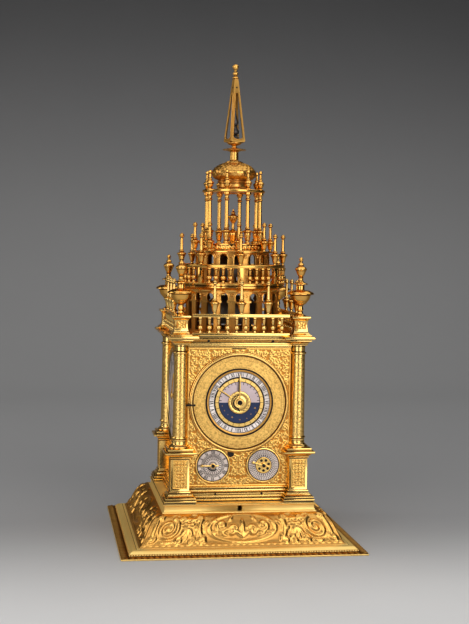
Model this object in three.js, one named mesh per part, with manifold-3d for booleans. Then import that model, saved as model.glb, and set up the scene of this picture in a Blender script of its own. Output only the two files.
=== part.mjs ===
// Astronomical table clock: a gilt tower on a square moulded base.
// Millimetres, +Z up, front towards -Y, origin at the middle of the base's underside.
import * as THREE from "three";
import { mergeVertices } from "three/addons/utils/BufferGeometryUtils.js";
import Module from "manifold-3d";

const wasm = await Module();
wasm.setup();

// Driving dimensions

// Clearances
const SEAT_GAP = 0.3; // between a seated piece and its seat
const RUN_GAP = 0.35; // radial, round an arbor

// Base, each square size as half its width
const FLANGE = { half: 95, edge: 2.6, border: 5, band: 7.5, rise: 6, width: 21 };
const SKIRT = { step: 2, top: 61, rise: 21.5, wall: 2.6, ledge: 5, steps: 6 };
const RELIEF = { rise: 1.4, strap: 2.6, up: 10.4, steps: 5 }; // the skirt's chased ornaments
const OVAL = { across: 25, up: 8.6, boss: 15, bossUp: 4.6 }; // one in the middle of each side
const SCROLL = { across: 6.4, up: 7.4, out: 57, opening: 50 }; // one at each end, open towards the corner
const PLINTH = { neck: 1.6, top: 0.7, rise: 7, wall: 5.5, floor: 2.2 }; // set back from the skirt's top
const KEYHOLE = { width: 3.6, height: 4.6, lift: 0.8 };

// Case
const CORNER = 47; // half the spacing of the corner columns
const PEDESTAL = { base: 12.5, die: 7.2, cap: 12.2, slab: 9.9, rise: 42.5, foot: 4.2, cyma: 5.6 };
const PEDESTAL_HEAD = 8; // height of the mouldings above the die
const COLUMN = { foot: 7.8, shaft: 5.6, neck: 5.1, ring: 6.2, rise: 81, sides: 8 };
const PANEL = { face: 46, thick: 2, fit: 0.4, sill: 6, sillRise: 11, head: 3, headRise: 4.4 };
const CORNICE = { foot: 47.5, top: 51.5, rise: 7, deck: 2.3, inner: 43.5 };
const RESSAUT = { foot: 9.2, top: 11, slab: 4.2 };

// Dials, each size a radius unless it says otherwise
const DIAL = { up: 77.8, bezel: 39.8, rim: 36.3, inner: 26.5, rise: 3, plate: 1.6, sides: 24 };
const CHAPTER = { outer: 26.1, inner: 16.6, thick: 1.2 };
const DAY_NIGHT = { outer: 16.2, thick: 1.1, sides: 24 };
const SUBDIAL = { across: 20.3, down: 50.1, disc: 12.4, rim: 13.9, thick: 0.9, rise: 1.7, sides: 16 };
const HOUR_HAND = { reach: 23, hub: 3, tail: 9, stem: 0.55, thick: 0.8, lift: 3.3 };
const MOON_HAND = { reach: 21, disc: 9, stem: 0.5, thick: 0.8, lift: 2, bearing: 145 };
const MOON_PIERCING = { radius: 1.5, count: 6 };
const SUB_HAND = { reach: 10.6, hub: 2.4, stem: 0.5, thick: 0.7, lift: 2 };
const SIDE_HAND = { reach: 24, hub: 3.4, stem: 0.7, thick: 0.9, lift: 2.4 };
const PIPE_WALL = 0.7;

// Upper storey
const UPPER_PEDESTAL = { base: 8.3, die: 4.5, cap: 7.2, rise: 15.8, out: 0.5 };
const URN = { rise: 47.2, rim: 10.6, bowl: 9.2, foot: 5.4, disc: 5.5, cup: 4.8, stem: 2, sides: 8 };
const BALUSTRADE = { rail: 3, lowRail: 2.2, topRail: 2.5, rise: 17.2, fit: 0.6, set: 50.2 };
const BALUSTER = { count: 10, pitch: 7.2, belly: 1.9, neck: 0.95, sides: 4 };
const RAIL_FINIAL = { count: 3, pitch: 21.3, rise: 26.6, cup: 3.9, pin: 0.95, ball: 1.4, sides: 5 };

// Round tower
const LOWER_ARCADE = { radius: 38, wall: 2.2, rise: 34.4, arches: 20, opening: 6.4, sill: 3, crown: 1.2 };
const GALLERY = { radius: 43.2, rise: 5, inner: 25, sides: 24 };
const GALLERY_RAIL = { depth: 2.2, low: 1.6, top: 2.7, rise: 16.2, post: 4.4, bays: 8, balusters: 4 };
const GALLERY_FINIAL_RISE = 25.4;
const UPPER_ARCADE = { radius: 30, wall: 2, rise: 25.8, arches: 16, opening: 7, sill: 2, crown: 0.9 };
const PODIUM = { flange: 33.7, drum: 26, lip: 26.7, step: 27.4, rise: 7.1, sides: 16 };
const PODIUM_FLANGE_RISE = 1.3;
const PODIUM_FINIAL = { count: 8, inset: 2.4, rise: 23.1 };
const CENTRE_URN = { rise: 28.7, rim: 4.3, foot: 2.6, vase: 3.3, stem: 1.2, sides: 6 };
const COLONNADE = { radius: 22.4, columns: 8, rise: 41.5, finial: 16 };
const CANOPY_COLUMN = { shaft: 1.5, vase: 2.6, flange: 3, sides: 5 };
const CANOPY = { radius: 25.7, thick: 2.3, sides: 16 };
const DOME = { bulge: 18, waist: 12, foot: 14.4, neck: 3.4, dish: 9.6, rise: 34.5, sides: 14 };
const SPIRE = { foot: 6.6, top: 1.7, rise: 68, knop: 4.4, finial: 11, turn: 19.5, post: 1.3, sides: 6 };

// Bells
const HOUR_BELL = { mouth: 28, crown: 12, rise: 22, wall: 2, lift: 8, sides: 12 };
const QUARTER_BELL = { mouth: 20, crown: 9, rise: 17, wall: 1.6, lift: 6, sides: 10 };

// Movement
const FRAME = { half: 34, front: 32, plate: 2, rise: 115, bridge: 2.5, pillar: 2.5, inset: 4.5 };
const ARBOR = { radius: 1.6, fine: 1.2 };
const TOOTH = { tip: 0.8, root: 1.1 }; // above and below the pitch circle, in modules
const FUSEE = { across: -6.2, below: 40.8, small: 7, large: 14, back: 18, front: -14 };
const GREAT_WHEEL = { teeth: 24, module: 2.1, thick: 3, back: 23 };
const REPORT_PINION = { teeth: 8, thick: 4, lift: 2.6 };
const HOUR_WHEEL = { teeth: 24, thick: 2, lift: 3.6 };
const SECOND_PINION = { teeth: 6, thick: 4, bearing: 55 };
const CONTRATE = { teeth: 18, radius: 15.5, rim: 2, disc: 2, tooth: 2.4, front: 0 };
const CROWN = { teeth: 9, radius: 8, reach: 7.5, thick: 1.4, tooth: 2.4, rim: 1.4 };
const CROWN_PINION = { teeth: 6, thick: 3 };
const BALANCE = { radius: 14.4, rim: 2, thick: 2, lift: 2.2, staff: 0.9, pallet: 2.9, throw: 3.2 };
const BARREL = { across: 31.2, below: 8.5, radius: 15, half: 16 };
const STRIKE_WHEEL = { radius: 20, notches: 12, depth: 2.4, thick: 2, inset: 4 };
const HAMMER = { across: 15.5, pivot: 4.5, arm: 21, head: 2.4, tail: 1.5, nose: 6.2, ear: 2, gap: 3.4 };
const STANDARD = { foot: 4, post: 2.4, collar: 4 };
const COCK = { thick: 2, half: 4, drop: 5, fit: 1.5 };

// Half widths of the base, worked out from the flange inwards and the skirt's top
const FLANGE_INNER = FLANGE.half - FLANGE.width;
const FLANGE_BAND = FLANGE.half - FLANGE.border - FLANGE.band;
const SKIRT_FOOT = FLANGE_BAND - SKIRT.step;
const SKIRT_INNER = SKIRT.top - SKIRT.ledge;
const PLINTH_FOOT = SKIRT.top;
const PLINTH_NECK = PLINTH_FOOT - PLINTH.neck;
const PLINTH_TOP = PLINTH_FOOT - PLINTH.top;

// Heights of the stack, worked out from the rises
const SKIRT_Z = FLANGE.rise;
const PLINTH_Z = SKIRT_Z + SKIRT.rise;
const FLOOR_Z = PLINTH_Z + PLINTH.rise;
const COLUMN_Z = FLOOR_Z + PEDESTAL.rise;
const CORNICE_Z = COLUMN_Z + COLUMN.rise;
const DECK_Z = CORNICE_Z + CORNICE.rise;
const URN_Z = DECK_Z + UPPER_PEDESTAL.rise;
const GALLERY_Z = DECK_Z + LOWER_ARCADE.rise;
const UPPER_ARCADE_Z = GALLERY_Z + GALLERY.rise;
const PODIUM_Z = UPPER_ARCADE_Z + UPPER_ARCADE.rise;
const COLONNADE_Z = PODIUM_Z + PODIUM.rise;
const CANOPY_Z = COLONNADE_Z + COLONNADE.rise;
const DOME_Z = CANOPY_Z + CANOPY.thick;
const SPIRE_Z = DOME_Z + DOME.rise;
const DIAL_Z = FLOOR_Z + DIAL.up;
const BRIDGE_Z = FLOOR_Z + FRAME.rise;

// Finishes
const finish = (color, roughness, metalness) =>
  new THREE.MeshStandardMaterial({ color, roughness, metalness });
const GILT = finish(0xc9983f, 0.32, 1);
const GILT_DARK = finish(0xa5742c, 0.42, 1);
const SILVERED = finish(0xb9b2ad, 0.45, 0.8);
const BLUE_ENAMEL = finish(0x1d2f6e, 0.25, 0.1);
const BELL_METAL = finish(0x9a938a, 0.35, 0.9);
const BRASS = finish(0xb58d45, 0.4, 1);
const STEEL = finish(0x4a4a4c, 0.4, 1);

// Solids and booleans

const DEG = Math.PI / 180;
const ROOT2 = Math.SQRT2;

// A closed geometry as a solid with shared vertices and outward faces.
function toSolid(geometry) {
  const bare = geometry.index ? geometry.toNonIndexed() : geometry.clone();
  bare.deleteAttribute("normal");
  bare.deleteAttribute("uv");
  const merged = mergeVertices(bare, 1e-4);
  const corners = [];
  const source = merged.index.array;
  for (let i = 0; i < source.length; i += 3) {
    const [a, b, c] = [source[i], source[i + 1], source[i + 2]];
    if (a !== b && b !== c && c !== a) corners.push(a, b, c);
  }
  const vertProperties = merged.attributes.position.array;
  const make = (list) =>
    new wasm.Manifold(new wasm.Mesh({ numProp: 3, vertProperties, triVerts: new Uint32Array(list) }));
  const made = make(corners);
  if (made.volume() > 0) return made;
  return make(corners.reverse());
}

function toGeometry(solid) {
  const mesh = solid.getMesh();
  const geometry = new THREE.BufferGeometry();
  geometry.setAttribute("position", new THREE.BufferAttribute(mesh.vertProperties, 3));
  geometry.setIndex(new THREE.BufferAttribute(mesh.triVerts, 1));
  geometry.computeVertexNormals();
  return geometry;
}

const unite = (list) => wasm.Manifold.union(list.map(toSolid));
const join = (...list) => toGeometry(unite(list));
const cut = (body, ...tools) => toGeometry(toSolid(body).subtract(unite(tools)));

// Shapes

// A profile of [radius, height] turned round Z.
function turned(profile, sides, turn = 0) {
  const points = profile.map(([r, z]) => new THREE.Vector2(r, z));
  return toGeometry(toSolid(new THREE.LatheGeometry(points, sides, turn).rotateX(Math.PI / 2)));
}

// A profile of [half width, height] run round a square, with mitred corners.
const mitred = (profile) => turned(profile.map(([h, z]) => [h * ROOT2, z]), 4, 45 * DEG);

// A profile with heights given as shares of one rise.
const raise = (rise, profile) => profile.map(([r, share]) => [r, share * rise]);

// A solid profile closed on the axis, and a ring closed on itself.
const solidProfile = (outline) => [[0, outline[0][1]], ...outline, [0, outline.at(-1)[1]]];
const ringProfile = (outline) => [...outline, outline[0]];

const block = (x0, x1, y0, y1, z0, z1) =>
  new THREE.BoxGeometry(x1 - x0, y1 - y0, z1 - z0).translate((x0 + x1) / 2, (y0 + y1) / 2, (z0 + z1) / 2);

// A round rod along Z, X or Y between two places.
const rod = (radius, from, to, sides = 6) =>
  turned(solidProfile([[radius, from], [radius, to]]), sides);
const rodX = (radius, from, to, sides = 6) => rod(radius, from, to, sides).rotateY(90 * DEG);
const rodY = (radius, from, to, sides = 6) => rod(radius, from, to, sides).rotateX(-90 * DEG);

// A flat outline with holes, raised along Z from a height.
function slab(shape, from, thick, curveSegments = 6) {
  const options = { depth: thick, bevelEnabled: false, curveSegments };
  return new THREE.ExtrudeGeometry(shape, options).translate(0, 0, from);
}

const disc = (radius, from, thick, sides) => rod(radius, from, from + thick, sides);

// A wheel's outline: tapered teeth on a pitch circle, the first tooth towards a bearing.
function toothedShape(teeth, module, bearing, bore) {
  const pitch = (teeth * module) / 2;
  const root = pitch - TOOTH.root * module;
  const tip = pitch + TOOTH.tip * module;
  const step = (2 * Math.PI) / teeth;
  const shape = new THREE.Shape();
  const corners = [[root, -0.25], [tip, 0], [root, 0.25]];
  const outline = [];
  for (let i = 0; i < teeth; i += 1) {
    for (const [radius, share] of corners) {
      const angle = bearing + (i + share) * step;
      outline.push(new THREE.Vector2(radius * Math.cos(angle), radius * Math.sin(angle)));
    }
  }
  shape.setFromPoints(outline);
  if (bore) shape.holes.push(new THREE.Path().absarc(0, 0, bore, 0, 2 * Math.PI, true));
  return shape;
}

// The scene graph

const clock = new THREE.Group();
const caseFront = new THREE.Group(); // local +Z looks out of the front, local +Y is up
caseFront.rotation.x = 90 * DEG;
clock.add(caseFront);
const caseLeft = new THREE.Group(); // the same, turned to the left side
caseLeft.rotation.z = -90 * DEG;
const leftFace = new THREE.Group();
leftFace.rotation.x = 90 * DEG;
caseLeft.add(leftFace);
clock.add(caseLeft);

function add(name, geometry, material, place = [0, 0, 0], parent = clock, turn = 0) {
  const mesh = new THREE.Mesh(geometry, material);
  mesh.name = name;
  mesh.position.set(...place);
  mesh.rotation.z = turn;
  parent.add(mesh);
  return mesh;
}

const CORNERS = [
  ["front_left", -1, -1],
  ["front_right", 1, -1],
  ["rear_left", -1, 1],
  ["rear_right", 1, 1],
];
const SIDES = [["front", 0], ["right", 90], ["rear", 180], ["left", -90]];

// Base: flange, repousse skirt and plinth, all run round a square

add(
  "base_flange",
  mitred(
    ringProfile([
      [FLANGE_INNER, 0],
      [FLANGE.half, 0],
      [FLANGE.half, FLANGE.edge],
      [FLANGE.half - FLANGE.border, FLANGE.edge],
      [FLANGE_BAND, FLANGE.rise],
      [FLANGE_INNER, FLANGE.rise],
    ]),
  ),
  GILT_DARK,
);

// The skirt's swelling side: a concave foot that turns over into a round shoulder.
function skirtCurve(inset) {
  const curve = new THREE.CubicBezierCurve(
    new THREE.Vector2(SKIRT_FOOT - inset, 0),
    new THREE.Vector2(SKIRT_FOOT - inset - 7.5, SKIRT.rise * 0.19),
    new THREE.Vector2(SKIRT_FOOT - inset - 7, SKIRT.rise - inset),
    new THREE.Vector2(SKIRT.top - inset, SKIRT.rise - inset),
  );
  return curve.getPoints(SKIRT.steps).map((p) => [p.x, p.y]);
}
const skirtBody = mitred(
  ringProfile([
    ...skirtCurve(0),
    [SKIRT_INNER, SKIRT.rise],
    [SKIRT_INNER, SKIRT.rise - SKIRT.wall],
    ...skirtCurve(SKIRT.wall).reverse(),
  ]),
);

// The skirt's main ornaments as flat outlines: an oval frame round a boss, and a scroll at each end.
function ovalShape() {
  const shape = new THREE.Shape().absellipse(0, 0, OVAL.across, OVAL.up, 0, 2 * Math.PI);
  const inside = new THREE.Path();
  inside.absellipse(0, 0, OVAL.across - RELIEF.strap, OVAL.up - RELIEF.strap, 0, 2 * Math.PI, true);
  shape.holes.push(inside);
  return shape;
}
const bossShape = () => new THREE.Shape().absellipse(0, 0, OVAL.boss, OVAL.bossUp, 0, 2 * Math.PI);
function scrollShape(side) {
  const middle = side > 0 ? 0 : 180;
  const [from, to] = [middle + SCROLL.opening, middle + 360 - SCROLL.opening].map((a) => a * DEG);
  const shape = new THREE.Shape();
  shape.absellipse(side * SCROLL.out, 0, SCROLL.across, SCROLL.up, from, to);
  const inner = [SCROLL.across - RELIEF.strap, SCROLL.up - RELIEF.strap];
  shape.absellipse(side * SCROLL.out, 0, ...inner, to, from, true);
  return shape;
}

// The ornaments of the front side, raised over the skirt's curve, then the same on the other three.
const reliefLayer = mitred(
  ringProfile([...skirtCurve(-RELIEF.rise), ...skirtCurve(SKIRT.wall / 2).reverse()]),
);
const reliefPrism = (shape) =>
  slab(shape, SKIRT_INNER, FLANGE.half - SKIRT_INNER, RELIEF.steps)
    .rotateX(90 * DEG)
    .translate(0, 0, RELIEF.up);
const ornaments = toSolid(reliefLayer).intersect(
  unite([
    reliefPrism(ovalShape()),
    reliefPrism(bossShape()),
    reliefPrism(scrollShape(-1)),
    reliefPrism(scrollShape(1)),
  ]),
);
const ornamented = SIDES.map(([, angle]) => toGeometry(ornaments).rotateZ(angle * DEG));
add("base_skirt", join(skirtBody, ...ornamented), GILT, [0, 0, SKIRT_Z]);

const plinthInner = PLINTH_FOOT - PLINTH.wall;
const plinthBody = mitred([
  [0, PLINTH.rise - PLINTH.floor],
  [plinthInner, PLINTH.rise - PLINTH.floor],
  [plinthInner, 0],
  [PLINTH_FOOT, 0],
  [PLINTH_FOOT - 0.6, 0.8],
  [PLINTH_NECK, PLINTH.rise * 0.45],
  [PLINTH_NECK, PLINTH.rise - 1.6],
  [PLINTH_TOP, PLINTH.rise - 0.9],
  [PLINTH_TOP, PLINTH.rise],
  [0, PLINTH.rise],
]);
const keyhole = block(
  -KEYHOLE.width / 2,
  KEYHOLE.width / 2,
  -PLINTH_FOOT - 1,
  -plinthInner + 1,
  KEYHOLE.lift,
  KEYHOLE.lift + KEYHOLE.height,
);
add("plinth", cut(plinthBody, keyhole), GILT, [0, 0, PLINTH_Z]);

// Corner pedestals and columns

const dieFoot = PEDESTAL.foot + PEDESTAL.cyma;
const dieTop = PEDESTAL.rise - PEDESTAL_HEAD;
const pedestal = mitred(
  solidProfile([
    [PEDESTAL.base, 0],
    [PEDESTAL.base, PEDESTAL.foot / 2],
    [PEDESTAL.base - 0.7, PEDESTAL.foot / 2],
    [PEDESTAL.base - 0.7, PEDESTAL.foot],
    [PEDESTAL.base - 2.2, PEDESTAL.foot + 0.6],
    [PEDESTAL.die + 1, dieFoot - 1],
    [PEDESTAL.die, dieFoot],
    [PEDESTAL.die, dieTop],
    [PEDESTAL.die + 1, dieTop + 1.4],
    [PEDESTAL.cap - 1.2, PEDESTAL.rise - 4],
    [PEDESTAL.cap, PEDESTAL.rise - 3.6],
    [PEDESTAL.cap, PEDESTAL.rise - 2.5],
    [PEDESTAL.slab, PEDESTAL.rise - 2.5],
    [PEDESTAL.slab, PEDESTAL.rise],
  ]),
);
const column = turned(
  solidProfile([
    [COLUMN.foot, 0],
    [COLUMN.foot, 2.4],
    [COLUMN.ring - 0.4, 4.6],
    [COLUMN.ring, 8.4],
    [COLUMN.shaft, 9.2],
    [COLUMN.neck, COLUMN.rise - 8],
    [COLUMN.ring, COLUMN.rise - 6.8],
    [COLUMN.neck, COLUMN.rise - 4.6],
    [COLUMN.foot, COLUMN.rise],
  ]),
  COLUMN.sides,
);
for (const [corner, x, y] of CORNERS) {
  add(`pedestal_${corner}`, pedestal, GILT, [x * CORNER, y * CORNER, FLOOR_Z]);
  add(`column_${corner}`, column, GILT, [x * CORNER, y * CORNER, COLUMN_Z]);
}

// Case panels: a plate stepped round the pedestals, with a sill and a head moulding

const panelFoot = CORNER - PEDESTAL.base - PANEL.fit;
const panelDie = CORNER - PEDESTAL.die - PANEL.fit;
const panelCap = CORNER - PEDESTAL.cap - PANEL.fit;
const panelTop = CORNER - COLUMN.foot - PANEL.fit;
const panelRise = CORNICE_Z - FLOOR_Z;

// Local X across, local Y up from the floor, local Z outwards from the plate's back.
function panelPlate() {
  const half = [
    [panelFoot, 0],
    [panelFoot, dieFoot + PANEL.fit],
    [panelDie, dieFoot + PANEL.fit],
    [panelDie, dieTop - PANEL.fit],
    [panelCap, dieTop - PANEL.fit],
    [panelCap, PEDESTAL.rise + PANEL.fit],
    [panelTop, PEDESTAL.rise + PANEL.fit],
    [panelTop, panelRise],
  ];
  const mirrored = half.map(([x, y]) => [-x, y]).reverse();
  const shape = new THREE.Shape([...half, ...mirrored].map(([x, y]) => new THREE.Vector2(x, y)));
  return slab(shape, 0, PANEL.thick);
}

// The plate's turned-in edge behind a column, up to where the next panel's edge meets it.
function panelReturn(side) {
  const inside = panelTop + PANEL.fit - (PANEL.face - PANEL.thick);
  const [near, far] = [panelTop - PANEL.thick, panelTop].map((x) => side * x).sort((a, b) => a - b);
  return block(near, far, PEDESTAL.rise + PANEL.fit, panelRise, inside, PANEL.thick / 2);
}

// A moulding: an outline of [depth, height] run along X.
function moulding(outline, halfLength) {
  const shape = new THREE.Shape(outline.map(([z, y]) => new THREE.Vector2(z, y)));
  return slab(shape, -halfLength, 2 * halfLength).rotateY(-90 * DEG);
}

function panelBody() {
  const back = PANEL.thick - 0.5;
  const sill = moulding(
    [
      [back, 0],
      [PANEL.thick + PANEL.sill, 0],
      [PANEL.thick + PANEL.sill, 2.6],
      [PANEL.thick + PANEL.sill - 1.8, 4.4],
      [PANEL.thick + PANEL.sill - 1.8, 6.4],
      [PANEL.thick + 1.6, PANEL.sillRise - 1.4],
      [PANEL.thick + 1.2, PANEL.sillRise],
      [back, PANEL.sillRise],
    ],
    panelFoot,
  );
  const head = moulding(
    [
      [back, panelRise - PANEL.headRise],
      [PANEL.thick + 1, panelRise - PANEL.headRise],
      [PANEL.thick + PANEL.head - 0.8, panelRise - 2],
      [PANEL.thick + PANEL.head, panelRise - 1.6],
      [PANEL.thick + PANEL.head, panelRise],
      [back, panelRise],
    ],
    panelTop,
  );
  return join(panelPlate(), panelReturn(-1), panelReturn(1), sill, head);
}
const plainPanel = panelBody();
const through = (radius, x, up) => rod(radius, -1, PANEL.thick + 1, 8).translate(x, up, 0);
const fuseeUp = DIAL.up - FUSEE.below;
const subdialUp = DIAL.up - SUBDIAL.down;
const pipeRadius = ARBOR.fine + RUN_GAP + PIPE_WALL;
const frontPanel = cut(
  plainPanel,
  through(pipeRadius + RUN_GAP, 0, DIAL.up),
  through(ARBOR.radius + 0.7, FUSEE.across, fuseeUp),
  through(ARBOR.fine + RUN_GAP, -SUBDIAL.across, subdialUp),
  through(ARBOR.fine + RUN_GAP, SUBDIAL.across, subdialUp),
);
const leftPanel = cut(plainPanel, through(ARBOR.fine + RUN_GAP, 0, DIAL.up));
const panelFor = { front: frontPanel, left: leftPanel, right: plainPanel, rear: plainPanel };
for (const [side, angle] of SIDES) {
  const turn = new THREE.Group();
  turn.rotation.z = angle * DEG;
  const face = new THREE.Group();
  face.rotation.x = 90 * DEG;
  turn.add(face);
  clock.add(turn);
  add(`${side}_panel`, panelFor[side], GILT, [0, FLOOR_Z, PANEL.face - PANEL.thick], face);
}

// Cornice with its deck and balustrade kerbs, broken forward over each column

const postHole = rod(STANDARD.post + RUN_GAP, -1, CORNICE.rise + 1);
const hammerSlot = block(
  HAMMER.across - HAMMER.arm * 0.36,
  HAMMER.across + HAMMER.nose + 1,
  -HAMMER.gap,
  HAMMER.gap,
  -1,
  CORNICE.rise + 1,
);
const corniceRun = mitred([
  [0, CORNICE.rise - CORNICE.deck],
  [CORNICE.inner, CORNICE.rise - CORNICE.deck],
  [CORNICE.inner, 0],
  [CORNICE.foot, 0],
  [CORNICE.foot + 0.6, 1.2],
  [CORNICE.top - 1, 3.4],
  [CORNICE.top, 3.8],
  [CORNICE.top, CORNICE.rise],
  [0, CORNICE.rise],
]);
const ressaut = mitred(
  solidProfile([
    [RESSAUT.foot, 0],
    [RESSAUT.foot, 1],
    [RESSAUT.top - 0.8, RESSAUT.slab - 0.6],
    [RESSAUT.top, RESSAUT.slab],
    [RESSAUT.top, CORNICE.rise],
  ]),
);
const upperCorner = CORNER + UPPER_PEDESTAL.out;
const railReach = upperCorner - UPPER_PEDESTAL.base - BALUSTRADE.fit; // half a balustrade's length
const kerb = block(
  -railReach,
  railReach,
  -BALUSTRADE.set - BALUSTRADE.rail / 2,
  -BALUSTRADE.set + BALUSTRADE.rail / 2,
  CORNICE.rise - CORNICE.deck / 2,
  CORNICE.rise + BALUSTRADE.lowRail,
);
const kerbs = SIDES.map(([, angle]) => kerb.clone().rotateZ(angle * DEG));
const ressauts = CORNERS.map(([, x, y]) => ressaut.clone().translate(x * CORNER, y * CORNER, 0));
const ledge = CORNER + RESSAUT.top; // the deck's edge runs straight along both sides
const ledges = block(-ledge, ledge, -CORNER, CORNER, RESSAUT.slab, CORNICE.rise);
const ledgeInside = block(-CORNER, CORNER, -CORNER - 1, CORNER + 1, 0, CORNICE.rise - CORNICE.deck);
add(
  "cornice",
  cut(join(corniceRun, cut(ledges, ledgeInside), ...ressauts, ...kerbs), postHole, hammerSlot),
  GILT,
  [0, 0, CORNICE_Z],
);

// Upper corner pedestals and their urns

const upperPedestal = mitred(
  solidProfile([
    [UPPER_PEDESTAL.base, 0],
    [UPPER_PEDESTAL.base, 1.3],
    [UPPER_PEDESTAL.die + 1.3, 4],
    [UPPER_PEDESTAL.die, 7],
    [UPPER_PEDESTAL.die, UPPER_PEDESTAL.rise - 6.2],
    [UPPER_PEDESTAL.die + 0.8, UPPER_PEDESTAL.rise - 3.2],
    [UPPER_PEDESTAL.cap, UPPER_PEDESTAL.rise - 1.7],
    [UPPER_PEDESTAL.cap, UPPER_PEDESTAL.rise],
  ]),
);
const urn = turned(
  solidProfile(
    raise(URN.rise, [
      [URN.foot, 0],
      [URN.foot, 0.02],
      [URN.stem, 0.12],
      [URN.bowl, 0.31],
      [URN.rim, 0.385],
      [URN.stem + 1, 0.44],
      [URN.stem + 1, 0.53],
      [URN.disc, 0.55],
      [URN.stem - 0.2, 0.64],
      [URN.cup, 0.81],
      [URN.stem - 0.4, 0.88],
      [0.7, 1],
    ]),
  ),
  URN.sides,
);
for (const [corner, x, y] of CORNERS) {
  add(`upper_pedestal_${corner}`, upperPedestal, GILT, [x * upperCorner, y * upperCorner, DECK_Z]);
  add(`urn_${corner}`, urn, GILT, [x * upperCorner, y * upperCorner, URN_Z]);
}

// Balusters and finials, turned between two heights

function baluster(rise) {
  return turned(
    solidProfile(
      raise(rise, [
        [BALUSTER.neck, 0],
        [BALUSTER.belly, 0.35],
        [BALUSTER.neck, 1],
      ]),
    ),
    BALUSTER.sides,
  );
}
function pinFinial(rise) {
  return turned(
    solidProfile(
      raise(rise, [
        [RAIL_FINIAL.pin + 0.2, 0],
        [RAIL_FINIAL.cup, 0.29],
        [RAIL_FINIAL.pin, 0.37],
        [RAIL_FINIAL.ball, 0.95],
        [RAIL_FINIAL.ball * 0.4, 1],
      ]),
    ),
    RAIL_FINIAL.sides,
  );
}
const railFinial = pinFinial(RAIL_FINIAL.rise);
const OVERLAP = 0.4; // how far a turned end is let into its rail before they are joined

// Square balustrades between the upper pedestals

const spread = (count, pitch) =>
  Array.from({ length: count }, (_, i) => (i - (count - 1) / 2) * pitch);
const railHalf = BALUSTRADE.rail / 2;
const balusterRise = BALUSTRADE.rise - BALUSTRADE.lowRail - BALUSTRADE.topRail + OVERLAP;
const squareBaluster = baluster(balusterRise);
const balustrade = join(
  block(
    -railReach,
    railReach,
    -railHalf,
    railHalf,
    BALUSTRADE.rise - BALUSTRADE.topRail,
    BALUSTRADE.rise,
  ),
  ...spread(BALUSTER.count, BALUSTER.pitch).map((x) =>
    squareBaluster.clone().translate(x, 0, BALUSTRADE.lowRail),
  ),
  ...spread(RAIL_FINIAL.count, RAIL_FINIAL.pitch).map((x) =>
    railFinial.clone().translate(x, 0, BALUSTRADE.rise - OVERLAP),
  ),
);
for (const [side, angle] of SIDES) {
  const turn = new THREE.Group();
  turn.rotation.z = angle * DEG;
  clock.add(turn);
  add(`balustrade_${side}`, balustrade, GILT, [0, -BALUSTRADE.set, DECK_Z], turn);
}

// Arcaded drums: a ring with one flat side for each arch

function archShape(arcade) {
  const half = arcade.opening / 2;
  const spring = arcade.rise - arcade.crown - half;
  const shape = new THREE.Shape();
  shape.moveTo(half, arcade.sill);
  shape.absarc(0, spring, half, 0, Math.PI, false);
  shape.lineTo(-half, arcade.sill);
  return shape;
}

function arcadedDrum(arcade) {
  const step = 360 / arcade.arches;
  const across = arcade.radius / Math.cos((step / 2) * DEG);
  const inner = (arcade.radius - arcade.wall) / Math.cos((step / 2) * DEG);
  const ring = turned(
    ringProfile([[inner, 0], [across, 0], [across, arcade.rise], [inner, arcade.rise]]),
    arcade.arches,
    (step / 2) * DEG,
  );
  const opening = slab(archShape(arcade), arcade.radius - arcade.wall - 2, arcade.wall + 4, 2);
  const openings = Array.from({ length: arcade.arches }, (_, i) =>
    opening.clone().rotateX(90 * DEG).rotateZ(i * step * DEG),
  );
  return cut(ring, ...openings);
}
add("lower_arcade", arcadedDrum(LOWER_ARCADE), GILT, [0, 0, DECK_Z]);
add("upper_arcade", arcadedDrum(UPPER_ARCADE), GILT, [0, 0, UPPER_ARCADE_Z]);

// Round gallery: a moulded floor, then rails, posts, balusters and finials

add(
  "gallery_floor",
  turned(
    ringProfile([
      [GALLERY.inner, 0],
      [LOWER_ARCADE.radius + 0.8, 0],
      [LOWER_ARCADE.radius + 1.6, 1.4],
      [GALLERY.radius, 2.8],
      [GALLERY.radius, GALLERY.rise + GALLERY_RAIL.low],
      [GALLERY.radius - GALLERY_RAIL.depth, GALLERY.rise + GALLERY_RAIL.low],
      [GALLERY.radius - GALLERY_RAIL.depth, GALLERY.rise],
      [GALLERY.inner, GALLERY.rise],
    ]),
    GALLERY.sides,
    (180 / GALLERY.sides) * DEG,
  ),
  GILT,
  [0, 0, GALLERY_Z],
);
const galleryLine = GALLERY.radius - GALLERY_RAIL.depth / 2;
const galleryRing = (from, to) =>
  turned(
    ringProfile([
      [galleryLine - GALLERY_RAIL.depth / 2, from],
      [galleryLine + GALLERY_RAIL.depth / 2, from],
      [galleryLine + GALLERY_RAIL.depth / 2, to],
      [galleryLine - GALLERY_RAIL.depth / 2, to],
    ]),
    GALLERY.sides,
    (180 / GALLERY.sides) * DEG,
  );
const galleryTop = GALLERY_RAIL.rise - GALLERY_RAIL.top;
const galleryBaluster = baluster(galleryTop - GALLERY_RAIL.low + OVERLAP);
const galleryPost = block(
  -GALLERY_RAIL.post / 2,
  GALLERY_RAIL.post / 2,
  -GALLERY_RAIL.depth / 2 + 0.3,
  GALLERY_RAIL.depth / 2 - 0.3,
  GALLERY_RAIL.low,
  galleryTop + OVERLAP,
);
const bayAngle = 360 / GALLERY_RAIL.bays;
const stand = (geometry, degrees) =>
  geometry.clone().translate(0, -galleryLine, 0).rotateZ(degrees * DEG);
const galleryFinial = pinFinial(GALLERY_FINIAL_RISE).translate(0, 0, GALLERY_RAIL.rise - OVERLAP);
const galleryPieces = [];
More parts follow.
